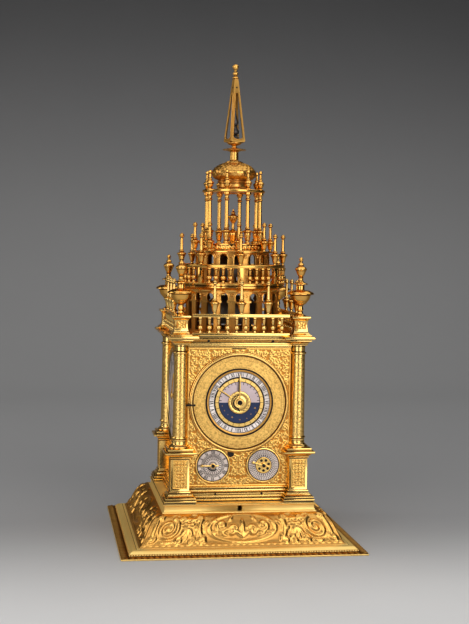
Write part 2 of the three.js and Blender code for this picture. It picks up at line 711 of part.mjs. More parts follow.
for (let bay = 0; bay < GALLERY_RAIL.bays; bay += 1) {
  galleryPieces.push(stand(galleryPost, bay * bayAngle));
  galleryPieces.push(stand(galleryFinial, bay * bayAngle));
  for (let i = 1; i <= GALLERY_RAIL.balusters; i += 1) {
    const angle = (bay + (i + 0.35) / (GALLERY_RAIL.balusters + 1.7)) * bayAngle;
    galleryPieces.push(
      stand(galleryBaluster.clone().translate(0, 0, GALLERY_RAIL.low), angle),
    );
  }
}
add(
  "gallery_balustrade",
  join(galleryRing(galleryTop, GALLERY_RAIL.rise), ...galleryPieces),
  GILT,
  [0, 0, UPPER_ARCADE_Z],
);

// Podium with its middle urn and the finials on its flange

const podiumBody = turned(
  solidProfile([
    [PODIUM.flange, 0],
    [PODIUM.flange, PODIUM_FLANGE_RISE],
    [PODIUM.step, PODIUM_FLANGE_RISE + 0.6],
    [PODIUM.drum, 2.8],
    [PODIUM.drum, PODIUM.rise - 1.3],
    [PODIUM.lip, PODIUM.rise - 0.9],
    [PODIUM.lip, PODIUM.rise],
  ]),
  PODIUM.sides,
);
const centreUrn = turned(
  solidProfile(
    raise(CENTRE_URN.rise, [
      [CENTRE_URN.foot, -0.02],
      [CENTRE_URN.foot - 0.8, 0.05],
      [CENTRE_URN.vase, 0.27],
      [CENTRE_URN.vase + 0.6, 0.34],
      [CENTRE_URN.stem, 0.41],
      [CENTRE_URN.stem, 0.52],
      [CENTRE_URN.rim - 0.7, 0.72],
      [CENTRE_URN.rim, 0.77],
      [CENTRE_URN.stem + 0.8, 0.84],
      [CENTRE_URN.stem, 0.9],
      [0.5, 1],
    ]),
  ),
  CENTRE_URN.sides,
).translate(0, 0, PODIUM.rise);
const podiumFinial = pinFinial(PODIUM_FINIAL.rise).translate(
  0,
  -PODIUM.flange + PODIUM_FINIAL.inset,
  PODIUM_FLANGE_RISE - OVERLAP,
);
const podiumFinials = Array.from({ length: PODIUM_FINIAL.count }, (_, i) =>
  podiumFinial.clone().rotateZ((i * 360 * DEG) / PODIUM_FINIAL.count),
);
add("podium", join(podiumBody, centreUrn, ...podiumFinials), GILT, [0, 0, PODIUM_Z]);

// Colonnade: eight turned columns let through the canopy plate, each ending in a finial

const canopyUp = COLONNADE.rise;
const canopyColumn = turned(
  solidProfile([
    [CANOPY_COLUMN.vase - 1, 0],
    [CANOPY_COLUMN.flange, canopyUp * 0.25],
    [CANOPY_COLUMN.shaft, canopyUp * 0.3],
    [CANOPY_COLUMN.shaft, canopyUp * 0.88],
    [CANOPY_COLUMN.shaft + 0.6, canopyUp * 0.94],
    [CANOPY_COLUMN.shaft, canopyUp + CANOPY.thick + COLONNADE.finial * 0.1],
    [CANOPY_COLUMN.vase - 0.2, canopyUp + CANOPY.thick + COLONNADE.finial * 0.3],
    [CANOPY_COLUMN.shaft - 0.6, canopyUp + CANOPY.thick + COLONNADE.finial],
  ]),
  CANOPY_COLUMN.sides,
);
const columnStep = 360 / COLONNADE.columns;
const canopyColumns = Array.from({ length: COLONNADE.columns }, (_, i) =>
  canopyColumn.clone().translate(0, -COLONNADE.radius, 0).rotateZ((i + 0.5) * columnStep * DEG),
);
const canopyPlate = disc(CANOPY.radius, canopyUp, CANOPY.thick, CANOPY.sides);
add("colonnade", join(canopyPlate, ...canopyColumns), GILT, [0, 0, COLONNADE_Z]);

// Dome, neck and dish

add(
  "dome",
  turned(
    solidProfile(
      raise(DOME.rise, [
        [DOME.foot, 0],
        [DOME.waist, 0.095],
        [DOME.waist + 1.2, 0.225],
        [DOME.bulge - 2, 0.28],
        [DOME.bulge, 0.395],
        [DOME.bulge - 1.8, 0.5],
        [DOME.bulge - 5.4, 0.585],
        [DOME.bulge - 10.5, 0.65],
        [DOME.neck, 0.7],
        [DOME.neck, 0.91],
        [DOME.dish, 0.965],
        [DOME.neck - 0.8, 1],
      ]),
    ),
    DOME.sides,
  ),
  GILT,
  [0, 0, DOME_Z],
);

// Spire: an open obelisk of four posts on a turned knop, with a finial

const obeliskRise = SPIRE.rise - SPIRE.knop - SPIRE.finial;
const obeliskAt = (inset) =>
  mitred(
    solidProfile([
      [SPIRE.foot - inset, 0],
      [SPIRE.top - inset * 0.35, obeliskRise],
    ]),
  );
const paneTop = obeliskRise * 0.8;
const hollow = toGeometry(
  toSolid(obeliskAt(SPIRE.post)).intersect(
    toSolid(block(-SPIRE.foot, SPIRE.foot, -SPIRE.foot, SPIRE.foot, SPIRE.post * 1.6, paneTop)),
  ),
);
function paneShape() {
  const inset = SPIRE.post * 1.35;
  const slope = (SPIRE.foot - SPIRE.top) / obeliskRise;
  const halfAt = (z) => SPIRE.foot - slope * z - inset;
  const low = SPIRE.post * 1.6;
  const shape = new THREE.Shape();
  shape.moveTo(-halfAt(low), low);
  shape.lineTo(halfAt(low), low);
  shape.lineTo(Math.max(halfAt(paneTop), 0.5), paneTop);
  shape.lineTo(-Math.max(halfAt(paneTop), 0.5), paneTop);
  return shape;
}
const pane = slab(paneShape(), -SPIRE.foot - 1, 2 * SPIRE.foot + 2).rotateX(90 * DEG);
const knop = turned(
  solidProfile(
    raise(SPIRE.knop, [
      [DOME.neck - 0.8, 0],
      [DOME.neck - 1.2, 0.2],
      [DOME.neck - 0.3, 0.5],
      [DOME.neck - 1, 0.72],
      [SPIRE.foot - 1, 0.95],
      [SPIRE.foot - 1, 1.05],
    ]),
  ),
  SPIRE.sides,
);
const finial = turned(
  solidProfile(
    raise(SPIRE.finial, [
      [SPIRE.top - 0.2, -0.05],
      [SPIRE.top + 0.4, 0.12],
      [SPIRE.top - 0.6, 0.22],
      [SPIRE.top + 0.4, 0.38],
      [SPIRE.top - 0.7, 0.52],
      [SPIRE.top + 0.4, 0.68],
      [SPIRE.top + 0.5, 0.86],
      [SPIRE.top - 0.6, 1],
    ]),
  ),
  SPIRE.sides,
);
const obelisk = cut(obeliskAt(0), hollow, pane, pane.clone().rotateZ(90 * DEG));
add(
  "spire",
  join(
    knop,
    obelisk.translate(0, 0, SPIRE.knop),
    finial.translate(0, 0, SPIRE.knop + obeliskRise),
  ).rotateZ(SPIRE.turn * DEG),
  GILT,
  [0, 0, SPIRE_Z],
);

// Bells, each an open cup hung on the standard through its crown

function bell(size) {
  const { mouth, crown, rise, wall, sides } = size;
  const bore = STANDARD.post + RUN_GAP;
  return turned(
    ringProfile([
      [mouth - wall, 0],
      [mouth, 0],
      [mouth - 2.4, rise * 0.25],
      [crown + 5, rise * 0.72],
      [crown, rise],
      [bore, rise],
      [bore, rise - wall],
      [crown - wall * 0.5, rise - wall],
      [crown + 5 - wall, rise * 0.72 - wall * 0.5],
      [mouth - 2.4 - wall, rise * 0.25],
    ]),
    sides,
  );
}
const hourBellZ = DECK_Z + HOUR_BELL.lift;
const quarterBellZ = UPPER_ARCADE_Z + QUARTER_BELL.lift;
add("hour_bell", bell(HOUR_BELL), BELL_METAL, [0, 0, hourBellZ]);
add("quarter_bell", bell(QUARTER_BELL), BELL_METAL, [0, 0, quarterBellZ]);

// Main dial, in the front face's own frame

const onDial = (lift) => [0, DIAL_Z, PANEL.face + lift];
add(
  "dial_bezel",
  turned(
    ringProfile([
      [DIAL.inner, SEAT_GAP],
      [DIAL.bezel, SEAT_GAP],
      [DIAL.bezel - 0.8, DIAL.rise],
      [DIAL.rim + 0.9, DIAL.rise],
      [DIAL.rim, DIAL.plate],
      [DIAL.inner, DIAL.plate],
    ]),
    DIAL.sides,
  ),
  GILT,
  onDial(0),
  caseFront,
);
add(
  "chapter_ring",
  turned(
    ringProfile([
      [CHAPTER.inner, SEAT_GAP],
      [CHAPTER.outer, SEAT_GAP],
      [CHAPTER.outer, SEAT_GAP + CHAPTER.thick],
      [CHAPTER.inner, SEAT_GAP + CHAPTER.thick],
    ]),
    DIAL.sides,
  ),
  SILVERED,
  onDial(0),
  caseFront,
);
const pipeHole = pipeRadius + RUN_GAP;
add(
  "day_night_disc",
  turned(
    ringProfile([
      [pipeHole, SEAT_GAP],
      [DAY_NIGHT.outer, SEAT_GAP],
      [DAY_NIGHT.outer, SEAT_GAP + DAY_NIGHT.thick],
      [pipeHole, SEAT_GAP + DAY_NIGHT.thick],
    ]),
    DAY_NIGHT.sides,
  ),
  BLUE_ENAMEL,
  onDial(0),
  caseFront,
);

// A pointer from a hub to its reach, with a spear tip, along local +Y.
function pointer(hub, reach, stem, thick) {
  const shape = new THREE.Shape();
  shape.moveTo(-stem, hub * 0.6);
  shape.lineTo(stem, hub * 0.6);
  shape.lineTo(stem, reach * 0.78);
  shape.lineTo(stem * 2.4, reach * 0.84);
  shape.lineTo(0, reach);
  shape.lineTo(-stem * 2.4, reach * 0.84);
  shape.lineTo(-stem, reach * 0.78);
  return slab(shape, 0, thick);
}
const boss = (radius, thick, sides = 10) => disc(radius, 0, thick, sides);
const boreOf = (radius, thick) => rod(radius, -1, thick + 1, 8);

const hourBore = ARBOR.fine + RUN_GAP;
function hourHand() {
  const { hub, reach, stem, thick, tail } = HOUR_HAND;
  const tailPointer = pointer(hub, tail, stem, thick).rotateZ(180 * DEG);
  return cut(join(boss(hub, thick), pointer(hub, reach, stem, thick), tailPointer), boreOf(hourBore, thick));
}
add("hour_hand", hourHand(), GILT, onDial(HOUR_HAND.lift), caseFront);

function moonHand() {
  const { disc: radius, reach, stem, thick, lift, bearing } = MOON_HAND;
  const arm = pointer(radius, reach, stem, thick).rotateZ((bearing - 90) * DEG);
  const pipe = rod(pipeRadius, -lift - PANEL.thick, thick * 0.5, 8);
  const { radius: pierce, count } = MOON_PIERCING;
  const piercings = Array.from({ length: count }, (_, i) =>
    rod(pierce, -1, thick + 1).translate(radius * 0.66, 0, 0).rotateZ((i + 0.5) * (360 / count) * DEG),
  );
  const bore = rod(hourBore, -lift - PANEL.thick - 1, thick + 1, 8);
  return cut(join(boss(radius, thick, 14), arm, pipe), bore, ...piercings);
}
add("moon_hand", moonHand(), GILT, onDial(MOON_HAND.lift), caseFront);

// Sub-dials with their hands

const subdial = cut(
  turned(
    solidProfile([
      [SUBDIAL.rim, SEAT_GAP],
      [SUBDIAL.rim, SUBDIAL.rise - 0.5],
      [SUBDIAL.rim - 0.8, SUBDIAL.rise],
      [SUBDIAL.disc, SUBDIAL.thick],
    ]),
    SUBDIAL.sides,
  ),
  rod(ARBOR.fine + RUN_GAP, -1, SUBDIAL.rise + 1),
);
function subHand() {
  const { hub, reach, stem, thick, lift } = SUB_HAND;
  const arbor = rod(ARBOR.fine, -lift - PANEL.thick - 2, thick + 0.6);
  const tail = pointer(hub, reach * 0.45, stem, thick).rotateZ(180 * DEG);
  return join(boss(hub, thick, 10), pointer(hub, reach, stem, thick), tail, arbor);
}
for (const [side, x, bearing] of [["left", -1, 90], ["right", 1, 75]]) {
  const place = (lift) => [x * SUBDIAL.across, DIAL_Z - SUBDIAL.down, PANEL.face + lift];
  add(`${side}_subdial`, subdial, SILVERED, place(0), caseFront);
  add(`${side}_subdial_hand`, subHand(), GILT, place(SUB_HAND.lift), caseFront, bearing * DEG);
}

// Left side dial and its hand, on the strike arbor

const onSide = (lift) => [0, DIAL_Z, PANEL.face + lift];
const sideDial = turned(
  solidProfile([
    [DIAL.bezel, SEAT_GAP],
    [DIAL.bezel - 0.8, DIAL.rise],
    [DIAL.rim + 0.9, DIAL.rise],
    [DIAL.rim, DIAL.plate],
  ]),
  DIAL.sides,
);
add(
  "side_dial",
  cut(sideDial, rod(ARBOR.fine + RUN_GAP, -1, DIAL.rise + 1)),
  SILVERED,
  onSide(0),
  leftFace,
);
const sideHand = cut(
  join(
    boss(SIDE_HAND.hub, SIDE_HAND.thick),
    pointer(SIDE_HAND.hub, SIDE_HAND.reach, SIDE_HAND.stem, SIDE_HAND.thick),
  ),
  boreOf(hourBore, SIDE_HAND.thick),
);
add("side_dial_hand", sideHand, GILT, onSide(SIDE_HAND.lift), leftFace, -35 * DEG);

// Movement frame: two plates held apart by pillars, on the case floor.
// Local X is across, local Y up from the floor and local Z forward, as on the front face.

const fuseeAt = [FUSEE.across, fuseeUp];
const secondBearing = SECOND_PINION.bearing * DEG;
const secondSpacing = (GREAT_WHEEL.module * (GREAT_WHEEL.teeth + SECOND_PINION.teeth)) / 2;
const secondAt = [
  fuseeAt[0] + secondSpacing * Math.cos(secondBearing),
  fuseeAt[1] + secondSpacing * Math.sin(secondBearing),
];
const barrelAt = [fuseeAt[0] + BARREL.across, fuseeAt[1] - BARREL.below];
const hourBearing = Math.atan2(DIAL.up - fuseeAt[1], -fuseeAt[0]);
const hourSpacing = Math.hypot(fuseeAt[0], DIAL.up - fuseeAt[1]);
const hourModule = (2 * hourSpacing) / (REPORT_PINION.teeth + HOUR_WHEEL.teeth);

const bearingHole = (radius, [x, up], from, thick) =>
  rod(radius + RUN_GAP, from - 1, from + thick + 1, 6).translate(x, up, 0);
const framePlate = (from) => block(-FRAME.half, FRAME.half, 0, FRAME.rise, from, from + FRAME.plate);
const pillarX = FRAME.half - FRAME.inset;
const pillars = [-pillarX, pillarX].flatMap((x) =>
  [FRAME.inset + 3, FRAME.rise - FRAME.inset].map((up) =>
    rod(FRAME.pillar, -FRAME.front + FRAME.plate - 0.5, FRAME.front - FRAME.plate, 6).translate(x, up, 0),
  ),
);
const rearPlate = cut(
  framePlate(-FRAME.front),
  bearingHole(ARBOR.radius, fuseeAt, -FRAME.front, FRAME.plate),
  bearingHole(ARBOR.fine, secondAt, -FRAME.front, FRAME.plate),
  bearingHole(ARBOR.radius, barrelAt, -FRAME.front, FRAME.plate),
);
const onFloor = [0, FLOOR_Z, 0];
add("movement_rear_plate", join(rearPlate, ...pillars), BRASS, onFloor, caseFront);
add(
  "movement_front_plate",
  cut(
    framePlate(FRAME.front - FRAME.plate + SEAT_GAP),
    bearingHole(ARBOR.radius, fuseeAt, FRAME.front - FRAME.plate, FRAME.plate + SEAT_GAP),
    bearingHole(ARBOR.fine, secondAt, FRAME.front - FRAME.plate, FRAME.plate + SEAT_GAP),
    bearingHole(ARBOR.radius, barrelAt, FRAME.front - FRAME.plate, FRAME.plate + SEAT_GAP),
    bearingHole(ARBOR.fine, [0, DIAL.up], FRAME.front - FRAME.plate, FRAME.plate + SEAT_GAP),
  ),
  BRASS,
  onFloor,
  caseFront,
);

// Going train. Depths along local Z run from the back of the case to the front.

const wheel = (teeth, module, bearing, from, thick) =>
  slab(toothedShape(teeth, module, bearing, 0), from, thick);
const fuseeFront = PANEL.face - 0.5;
const fuseeBody = turned(
  solidProfile([
    [FUSEE.large, -FUSEE.back],
    [FUSEE.large, -FUSEE.back + 2],
    [FUSEE.large - 3.4, -FUSEE.back + 12],
    [FUSEE.small + 1.2, -FUSEE.front - 8],
    [FUSEE.small, -FUSEE.front],
  ]),
  10,
);
const winding = block(-1.2, 1.2, -1.2, 1.2, FRAME.front + REPORT_PINION.lift, fuseeFront);
add(
  "fusee",
  join(
    fuseeBody,
    rod(ARBOR.radius, -FRAME.front - 0.6, FRAME.front + REPORT_PINION.lift + 5),
    winding,
    wheel(GREAT_WHEEL.teeth, GREAT_WHEEL.module, secondBearing, -GREAT_WHEEL.back, GREAT_WHEEL.thick),
    rod(FUSEE.small, -GREAT_WHEEL.back + 1, -FUSEE.back + 1, 10),
    wheel(
      REPORT_PINION.teeth,
      hourModule,
      hourBearing + Math.PI / REPORT_PINION.teeth,
      FRAME.front + REPORT_PINION.lift,
      REPORT_PINION.thick,
    ),
  ),
  BRASS,
  [fuseeAt[0], FLOOR_Z + fuseeAt[1], 0],
  caseFront,
);
const hourWheelBack = FRAME.front + HOUR_WHEEL.lift;
const hourArborFront = PANEL.face + HOUR_HAND.lift + HOUR_HAND.thick + 0.5;
add(
  "hour_wheel",
  join(
    wheel(HOUR_WHEEL.teeth, hourModule, hourBearing + Math.PI, hourWheelBack, HOUR_WHEEL.thick),
    rod(ARBOR.fine, FRAME.front - FRAME.plate - 1, hourArborFront),
    rod(ARBOR.fine * 2.5, hourWheelBack - 1.5, hourWheelBack + 0.5),
  ),
  BRASS,
  [0, DIAL_Z, 0],
  caseFront,
);

// A three-cornered tooth standing down from a wheel's back, let into it by OVERLAP.
function axialTooth(height, halfWidth, radius, length) {
  const corners = [[-halfWidth, OVERLAP], [0, -height], [halfWidth, OVERLAP]];
  const shape = new THREE.Shape(corners.map(([x, y]) => new THREE.Vector2(x, y)));
  return slab(shape, radius - length / 2, length).rotateX(90 * DEG).rotateZ(90 * DEG);
}

// Contrate wheel: a disc whose teeth stand out towards the back
const contrateTooth = axialTooth(CONTRATE.tooth, 1.1, CONTRATE.radius, CONTRATE.rim);
const contrateTeeth = Array.from({ length: CONTRATE.teeth }, (_, i) =>
  contrateTooth
    .clone()
    .translate(0, 0, -CONTRATE.disc)
    .rotateZ(((i + 0.5) * 360 * DEG) / CONTRATE.teeth),
);
add(
  "contrate_wheel",
  join(
    disc(CONTRATE.radius + CONTRATE.rim / 2 + 0.3, -CONTRATE.disc, CONTRATE.disc, 12),
    ...contrateTeeth,
    rod(ARBOR.fine, -FRAME.front - 0.6, FRAME.front + 0.6),
    wheel(
      SECOND_PINION.teeth,
      GREAT_WHEEL.module,
      secondBearing + Math.PI + Math.PI / SECOND_PINION.teeth,
      -GREAT_WHEEL.back - 0.5,
      SECOND_PINION.thick,
    ),
  ),
  BRASS,
  [secondAt[0], FLOOR_Z + secondAt[1], CONTRATE.front],
  caseFront,
);

// Crown wheel on an arbor across the case, driven by the contrate wheel's left side.
const crownModule = (2 * CONTRATE.radius) / CONTRATE.teeth;
const crownBack = CONTRATE.disc + 2 * SEAT_GAP + crownModule * (CROWN_PINION.teeth / 2 + TOOTH.tip);
const crownUp = FLOOR_Z + secondAt[1];
const pinionX = secondAt[0] - CONTRATE.radius;
const crownX = pinionX - CROWN.reach;
const crownTooth = axialTooth(CROWN.tooth, 1.2, CROWN.radius - CROWN.rim / 2 - 0.6, CROWN.rim);
const crownTeeth = Array.from({ length: CROWN.teeth }, (_, i) =>
  crownTooth.clone().rotateZ((i * 360 * DEG) / CROWN.teeth),
);
// Local Z runs along the arbor, from the crown wheel's teeth towards the pinion.
add(
  "crown_wheel",
  join(
    disc(CROWN.radius, 0, CROWN.thick, 9),
    ...crownTeeth,
    rod(ARBOR.fine, 0, CROWN.reach + CROWN_PINION.thick + 4),
    wheel(
      CROWN_PINION.teeth,
      crownModule,
      -90 * DEG,
      CROWN.reach - CROWN_PINION.thick / 2,
      CROWN_PINION.thick,
    ),
  ).rotateY(90 * DEG),
  STEEL,
  [crownX, crownBack, crownUp],
);

// Verge and balance on a staff in front of the crown wheel's teeth
const staffX = crownX - CROWN.tooth - BALANCE.throw;
const staffFoot = crownUp - CROWN.radius - 5;
const balanceZ = BRIDGE_Z + FRAME.bridge + BALANCE.lift;
const pallet = (up, degrees) =>
  block(0, BALANCE.pallet, -0.3, 0.3, up - 1, up + 1).rotateZ(degrees * DEG);
const balanceRing = turned(
  ringProfile([
    [BALANCE.radius - BALANCE.rim, 0],
    [BALANCE.radius, 0],
    [BALANCE.radius, BALANCE.thick],
    [BALANCE.radius - BALANCE.rim, BALANCE.thick],
  ]),
  16,
).translate(0, 0, balanceZ);
add(
  "balance",
  join(
    rod(BALANCE.staff, staffFoot, balanceZ + BALANCE.thick + 0.4, 8),
    balanceRing,
    block(-BALANCE.radius + 1, BALANCE.radius - 1, -1, 1, balanceZ, balanceZ + BALANCE.thick),
    pallet(crownUp + CROWN.radius - 0.7, 48),
    pallet(crownUp - CROWN.radius + 0.7, -48),
  ),
  STEEL,
  [staffX, crownBack, 0],
);

// Mainspring barrel beside the fusee
add(
  "mainspring_barrel",
  join(
    rod(BARREL.radius, -BARREL.half, BARREL.half, 14),
    rod(ARBOR.radius, -FRAME.front - 0.6, FRAME.front + 1.5),
  ),
  BRASS,
  [barrelAt[0], FLOOR_Z + barrelAt[1], 0],
  caseFront,
);

// Strike count wheel, behind the left panel, with its arbor out through the side dial
function countShape() {
  const shape = new THREE.Shape();
  const { radius, notches, depth } = STRIKE_WHEEL;
  const step = (2 * Math.PI) / notches;
  const corners = [[radius, 0.12], [radius, 0.88], [radius - depth, 1]];
  for (let i = 0; i < notches; i += 1) {
    corners.forEach(([r, share], k) => {
      const angle = (i + share) * step;
      const place = [r * Math.cos(angle), r * Math.sin(angle)];
      if (i || k) shape.lineTo(...place);
      else shape.moveTo(...place);
    });
  }
  return shape;
}
const strikeBack = PANEL.face - PANEL.thick - STRIKE_WHEEL.inset - STRIKE_WHEEL.thick;
const strikeArborFront = PANEL.face + SIDE_HAND.lift + SIDE_HAND.thick + 0.5;
const cockX = strikeBack - COCK.thick - COCK.fit; // inner face of the strike arbor's cock
add(
  "strike_wheel",
  join(
    slab(countShape(), strikeBack, STRIKE_WHEEL.thick),
    rod(ARBOR.fine, cockX - 0.6, strikeArborFront),
  ),
  BRASS,
  onSide(-PANEL.face),
  leftFace,
);

// Bridge on the plates: carries the bells' standard, the verge, the crown wheel and the hammer
const dialAbove = BRIDGE_Z - DIAL_Z;
const cock = cut(
  block(-cockX - COCK.thick, -cockX, -COCK.half, COCK.half, -dialAbove - COCK.drop, 0.5),
  rodX(ARBOR.fine + RUN_GAP, -cockX - COCK.thick - 1, -cockX + 1).translate(0, 0, -dialAbove),
);
const crownDrop = crownUp - BRIDGE_Z;
const crownLeg = (x) =>
  cut(
    block(x - 0.9, x + 0.9, crownBack - 2.6, crownBack + 2.6, crownDrop - 3, 0.5),
    rodX(ARBOR.fine + RUN_GAP, x - 2, x + 2).translate(0, crownBack, crownDrop),
  );
const vergeFoot = staffFoot - BRIDGE_Z;
const vergeLeg = cut(
  join(
    block(staffX - 5, staffX - 3, crownBack - 2.6, crownBack + 2.6, vergeFoot - 1.5, 0.5),
    block(staffX - 5, staffX + 2, crownBack - 2.6, crownBack + 2.6, vergeFoot - 1.5, vergeFoot + 1.5),
  ),
  rod(BALANCE.staff + RUN_GAP, vergeFoot - SEAT_GAP, vergeFoot + 3, 8).translate(staffX, crownBack, 0),
);
const ears = [-1, 1].map((side) =>
  cut(
    block(
      HAMMER.across - 2.4,
      HAMMER.across + 2.4,
      side * (HAMMER.gap - 0.6) - HAMMER.ear / 2,
      side * (HAMMER.gap - 0.6) + HAMMER.ear / 2,
      FRAME.bridge - 0.5,
      FRAME.bridge + HAMMER.pivot + 2,
    ),
    rodY(ARBOR.fine + RUN_GAP, -8, 8).translate(HAMMER.across, 0, FRAME.bridge + HAMMER.pivot),
  ),
);
const bellSeat = (size, z) => z + size.rise - size.wall - SEAT_GAP - BRIDGE_Z;
const hourSeat = bellSeat(HOUR_BELL, hourBellZ);
const quarterSeat = bellSeat(QUARTER_BELL, quarterBellZ);
const standard = turned(
  solidProfile([
    [STANDARD.foot, FRAME.bridge - 0.5],
    [STANDARD.foot, FRAME.bridge + 1.5],
    [STANDARD.post, FRAME.bridge + 2],
    [STANDARD.post, hourSeat - 2],
    [STANDARD.collar, hourSeat - 1.5],
    [STANDARD.collar, hourSeat],
    [STANDARD.post, hourSeat],
    [STANDARD.post, quarterSeat - 2],
    [STANDARD.collar, quarterSeat - 1.5],
    [STANDARD.collar, quarterSeat],
    [STANDARD.post, quarterSeat],
    [STANDARD.post, quarterSeat + QUARTER_BELL.wall + 1.6],
  ]),
  6,
);
const bridgePlate = cut(
  block(-cockX - COCK.thick, FRAME.half, -FRAME.front, FRAME.front, 0, FRAME.bridge),
  rod(BALANCE.staff + RUN_GAP, -1, FRAME.bridge + 1, 8).translate(staffX, crownBack, 0),
);
add(
  "bell_bridge",
  join(bridgePlate, standard, cock, crownLeg(pinionX - 3.5), crownLeg(pinionX + 4.2), vergeLeg, ...ears),
  STEEL,
  [0, 0, BRIDGE_Z],
);

// Hammer: an arm from its arbor up inside the hour bell, with a head on its outer side
const pivotZ = FRAME.bridge + HAMMER.pivot;
add(
  "bell_hammer",
  join(
    rodY(ARBOR.fine, -HAMMER.gap - 0.2, HAMMER.gap + 0.2),
    rod(ARBOR.fine, 0, HAMMER.arm, 6),
    rodX(HAMMER.head, -HAMMER.tail, HAMMER.nose).translate(0, 0, HAMMER.arm),
  ),
  STEEL,
  [HAMMER.across, 0, BRIDGE_Z + pivotZ],
);

export default clock;
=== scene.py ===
"""Looks of a gilt astronomical table clock: galleries, dome and spire over an engraved case."""
import math

import bmesh
import bpy
import numpy as np
from bpy.props import FloatProperty, FloatVectorProperty, PointerProperty
from bpy.types import Operator, Panel, PropertyGroup
from mathutils import Matrix, Vector


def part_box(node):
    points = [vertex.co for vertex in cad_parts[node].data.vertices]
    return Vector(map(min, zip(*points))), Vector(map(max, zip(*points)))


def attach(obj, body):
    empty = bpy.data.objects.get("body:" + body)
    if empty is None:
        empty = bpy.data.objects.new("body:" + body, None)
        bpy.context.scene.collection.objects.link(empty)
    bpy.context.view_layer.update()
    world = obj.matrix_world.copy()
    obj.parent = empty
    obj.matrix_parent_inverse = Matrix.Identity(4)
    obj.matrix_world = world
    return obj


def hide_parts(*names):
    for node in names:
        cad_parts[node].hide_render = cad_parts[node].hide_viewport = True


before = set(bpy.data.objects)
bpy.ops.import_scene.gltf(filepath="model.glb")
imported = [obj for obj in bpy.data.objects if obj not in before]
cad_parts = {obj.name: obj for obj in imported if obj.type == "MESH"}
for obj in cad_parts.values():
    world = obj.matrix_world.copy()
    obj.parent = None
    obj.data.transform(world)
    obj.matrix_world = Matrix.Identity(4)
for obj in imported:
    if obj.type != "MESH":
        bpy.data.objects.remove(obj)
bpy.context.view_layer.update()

bl_info = {
    "name": "Astronomical table clock",
    "version": (1, 0, 0),
    "blender": (4, 5, 0),
    "location": "View3D > Sidebar > Clock",
    "description": "Dresses the frame of a gilt tower clock with turned and chased pieces",
    "category": "Object",
}

MM = 0.001
X, Y, Z = 0, 1, 2


def low(node, axis):
    """Lowest place of a CAD node along an axis, in millimetres."""
    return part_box(node)[0][axis] / MM


def high(node, axis):
    """Highest place of a CAD node along an axis, in millimetres."""
    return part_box(node)[1][axis] / MM


# Places that the frame gives, in millimetres
FLANGE_HALF = high("base_flange", X)
FLANGE_TOP = high("base_flange", Z)
SKIRT_TOP = high("base_skirt", Z)
CASE_FLOOR = high("plinth", Z)
COLUMN_FOOT = low("column_front_right", Z)
CORNICE_FOOT = low("cornice", Z)
DECK = low("upper_pedestal_front_right", Z)
URN_FOOT = low("urn_front_right", Z)
URN_TOP = high("urn_front_right", Z)
GALLERY = low("gallery_floor", Z)
GALLERY_DECK = low("upper_arcade", Z)
PODIUM_FOOT = low("podium", Z)
COLONNADE_FOOT = low("colonnade", Z)
DOME_FOOT = low("dome", Z)
SPIRE_FOOT = low("spire", Z)
SPIRE_TOP = high("spire", Z)
CORNER = (low("column_front_right", X) + high("column_front_right", X)) / 2
UPPER_CORNER = (low("urn_front_right", X) + high("urn_front_right", X)) / 2
DIAL_UP = (low("dial_bezel", Z) + high("dial_bezel", Z)) / 2
DIAL_RADIUS = high("dial_bezel", X)
SUBDIAL_ACROSS = (low("right_subdial", X) + high("right_subdial", X)) / 2
SUBDIAL_UP = (low("right_subdial", Z) + high("right_subdial", Z)) / 2

# Sizes that are the looks' own, in millimetres
FACE = 46.0
PANEL_BACK = 44.0
SILL_RISE = 11.0
RAIL_HALF = 38.6
KERB = 2.2
SPRING_DROP = 4.8
DAB_STEP = 0.35

# Turn of the spire and least angle of a rounded edge in degrees, welding distance in metres
SPIRE_TURN = 19.5
ROUNDED_ANGLE = 28
WELD = 2e-6

# The camera that the photograph's perspective gives: millimetres, radians and pixels
CAMERA_PLACE = (-154.78, -987.91, 233.92)
CAMERA_YAW, CAMERA_PITCH, CAMERA_ROLL = 0.1578, -0.0526, 0.0169
FOCAL_LENGTH, PHOTO_HEIGHT = 1214.8, 624

RING, LINE = "Repeat round a ring", "Repeat along a line"
SIDES = {"front": 0, "right": 90, "rear": 180, "left": -90}
CORNERS = {
    "front_left": (-1, -1), "front_right": (1, -1), "rear_left": (-1, 1), "rear_right": (1, 1),
}

# Slots of the finishes that are not gilt
SLOTS = {
    "black_wax": "steel", "dark_steel": "steel", "bell_bronze": "bell_metal",
    "silvering": "silvered", "dull_silvering": "silvered", "day_silvering": "silvered",
    "blue_enamel": "enamel",
}


# Meshes from grids, outlines and repeats

def sheet(grid, wrap_u=False, wrap_v=False):
    """Points and four-sided faces of a grid of places."""
    rows, columns = grid.shape[:2]
    index = np.arange(rows * columns).reshape(rows, columns)
    if wrap_u:
        index = np.vstack([index, index[:1]])
    if wrap_v:
        index = np.hstack([index, index[:, :1]])
    quads = np.stack([index[:-1, :-1], index[1:, :-1], index[1:, 1:], index[:-1, 1:]], -1)
    return grid.reshape(-1, 3), quads.reshape(-1, 4)


def surface(x, y, z):
    """A grid of places from arrays that spread over one another."""
    return np.stack(np.broadcast_arrays(x, y, z), -1)


def outline(start, *steps, parts=7):
    """Points of an outline; a step is a place, with a bulge where an arc leads to it."""
    points = [np.array(start, float)]
    for radius, height, *bulge in steps:
        first, last = points[-1], np.array((radius, height), float)
        if not bulge:
            points.append(last)
            continue
        chord = last - first
        bend = (first + last) / 2 + 2 * bulge[0] * np.array((chord[1], -chord[0]))
        for t in np.linspace(0, 1, parts + 1)[1:]:
            points.append((1 - t) ** 2 * first + 2 * t * (1 - t) * bend + t * t * last)
    return np.array(points)


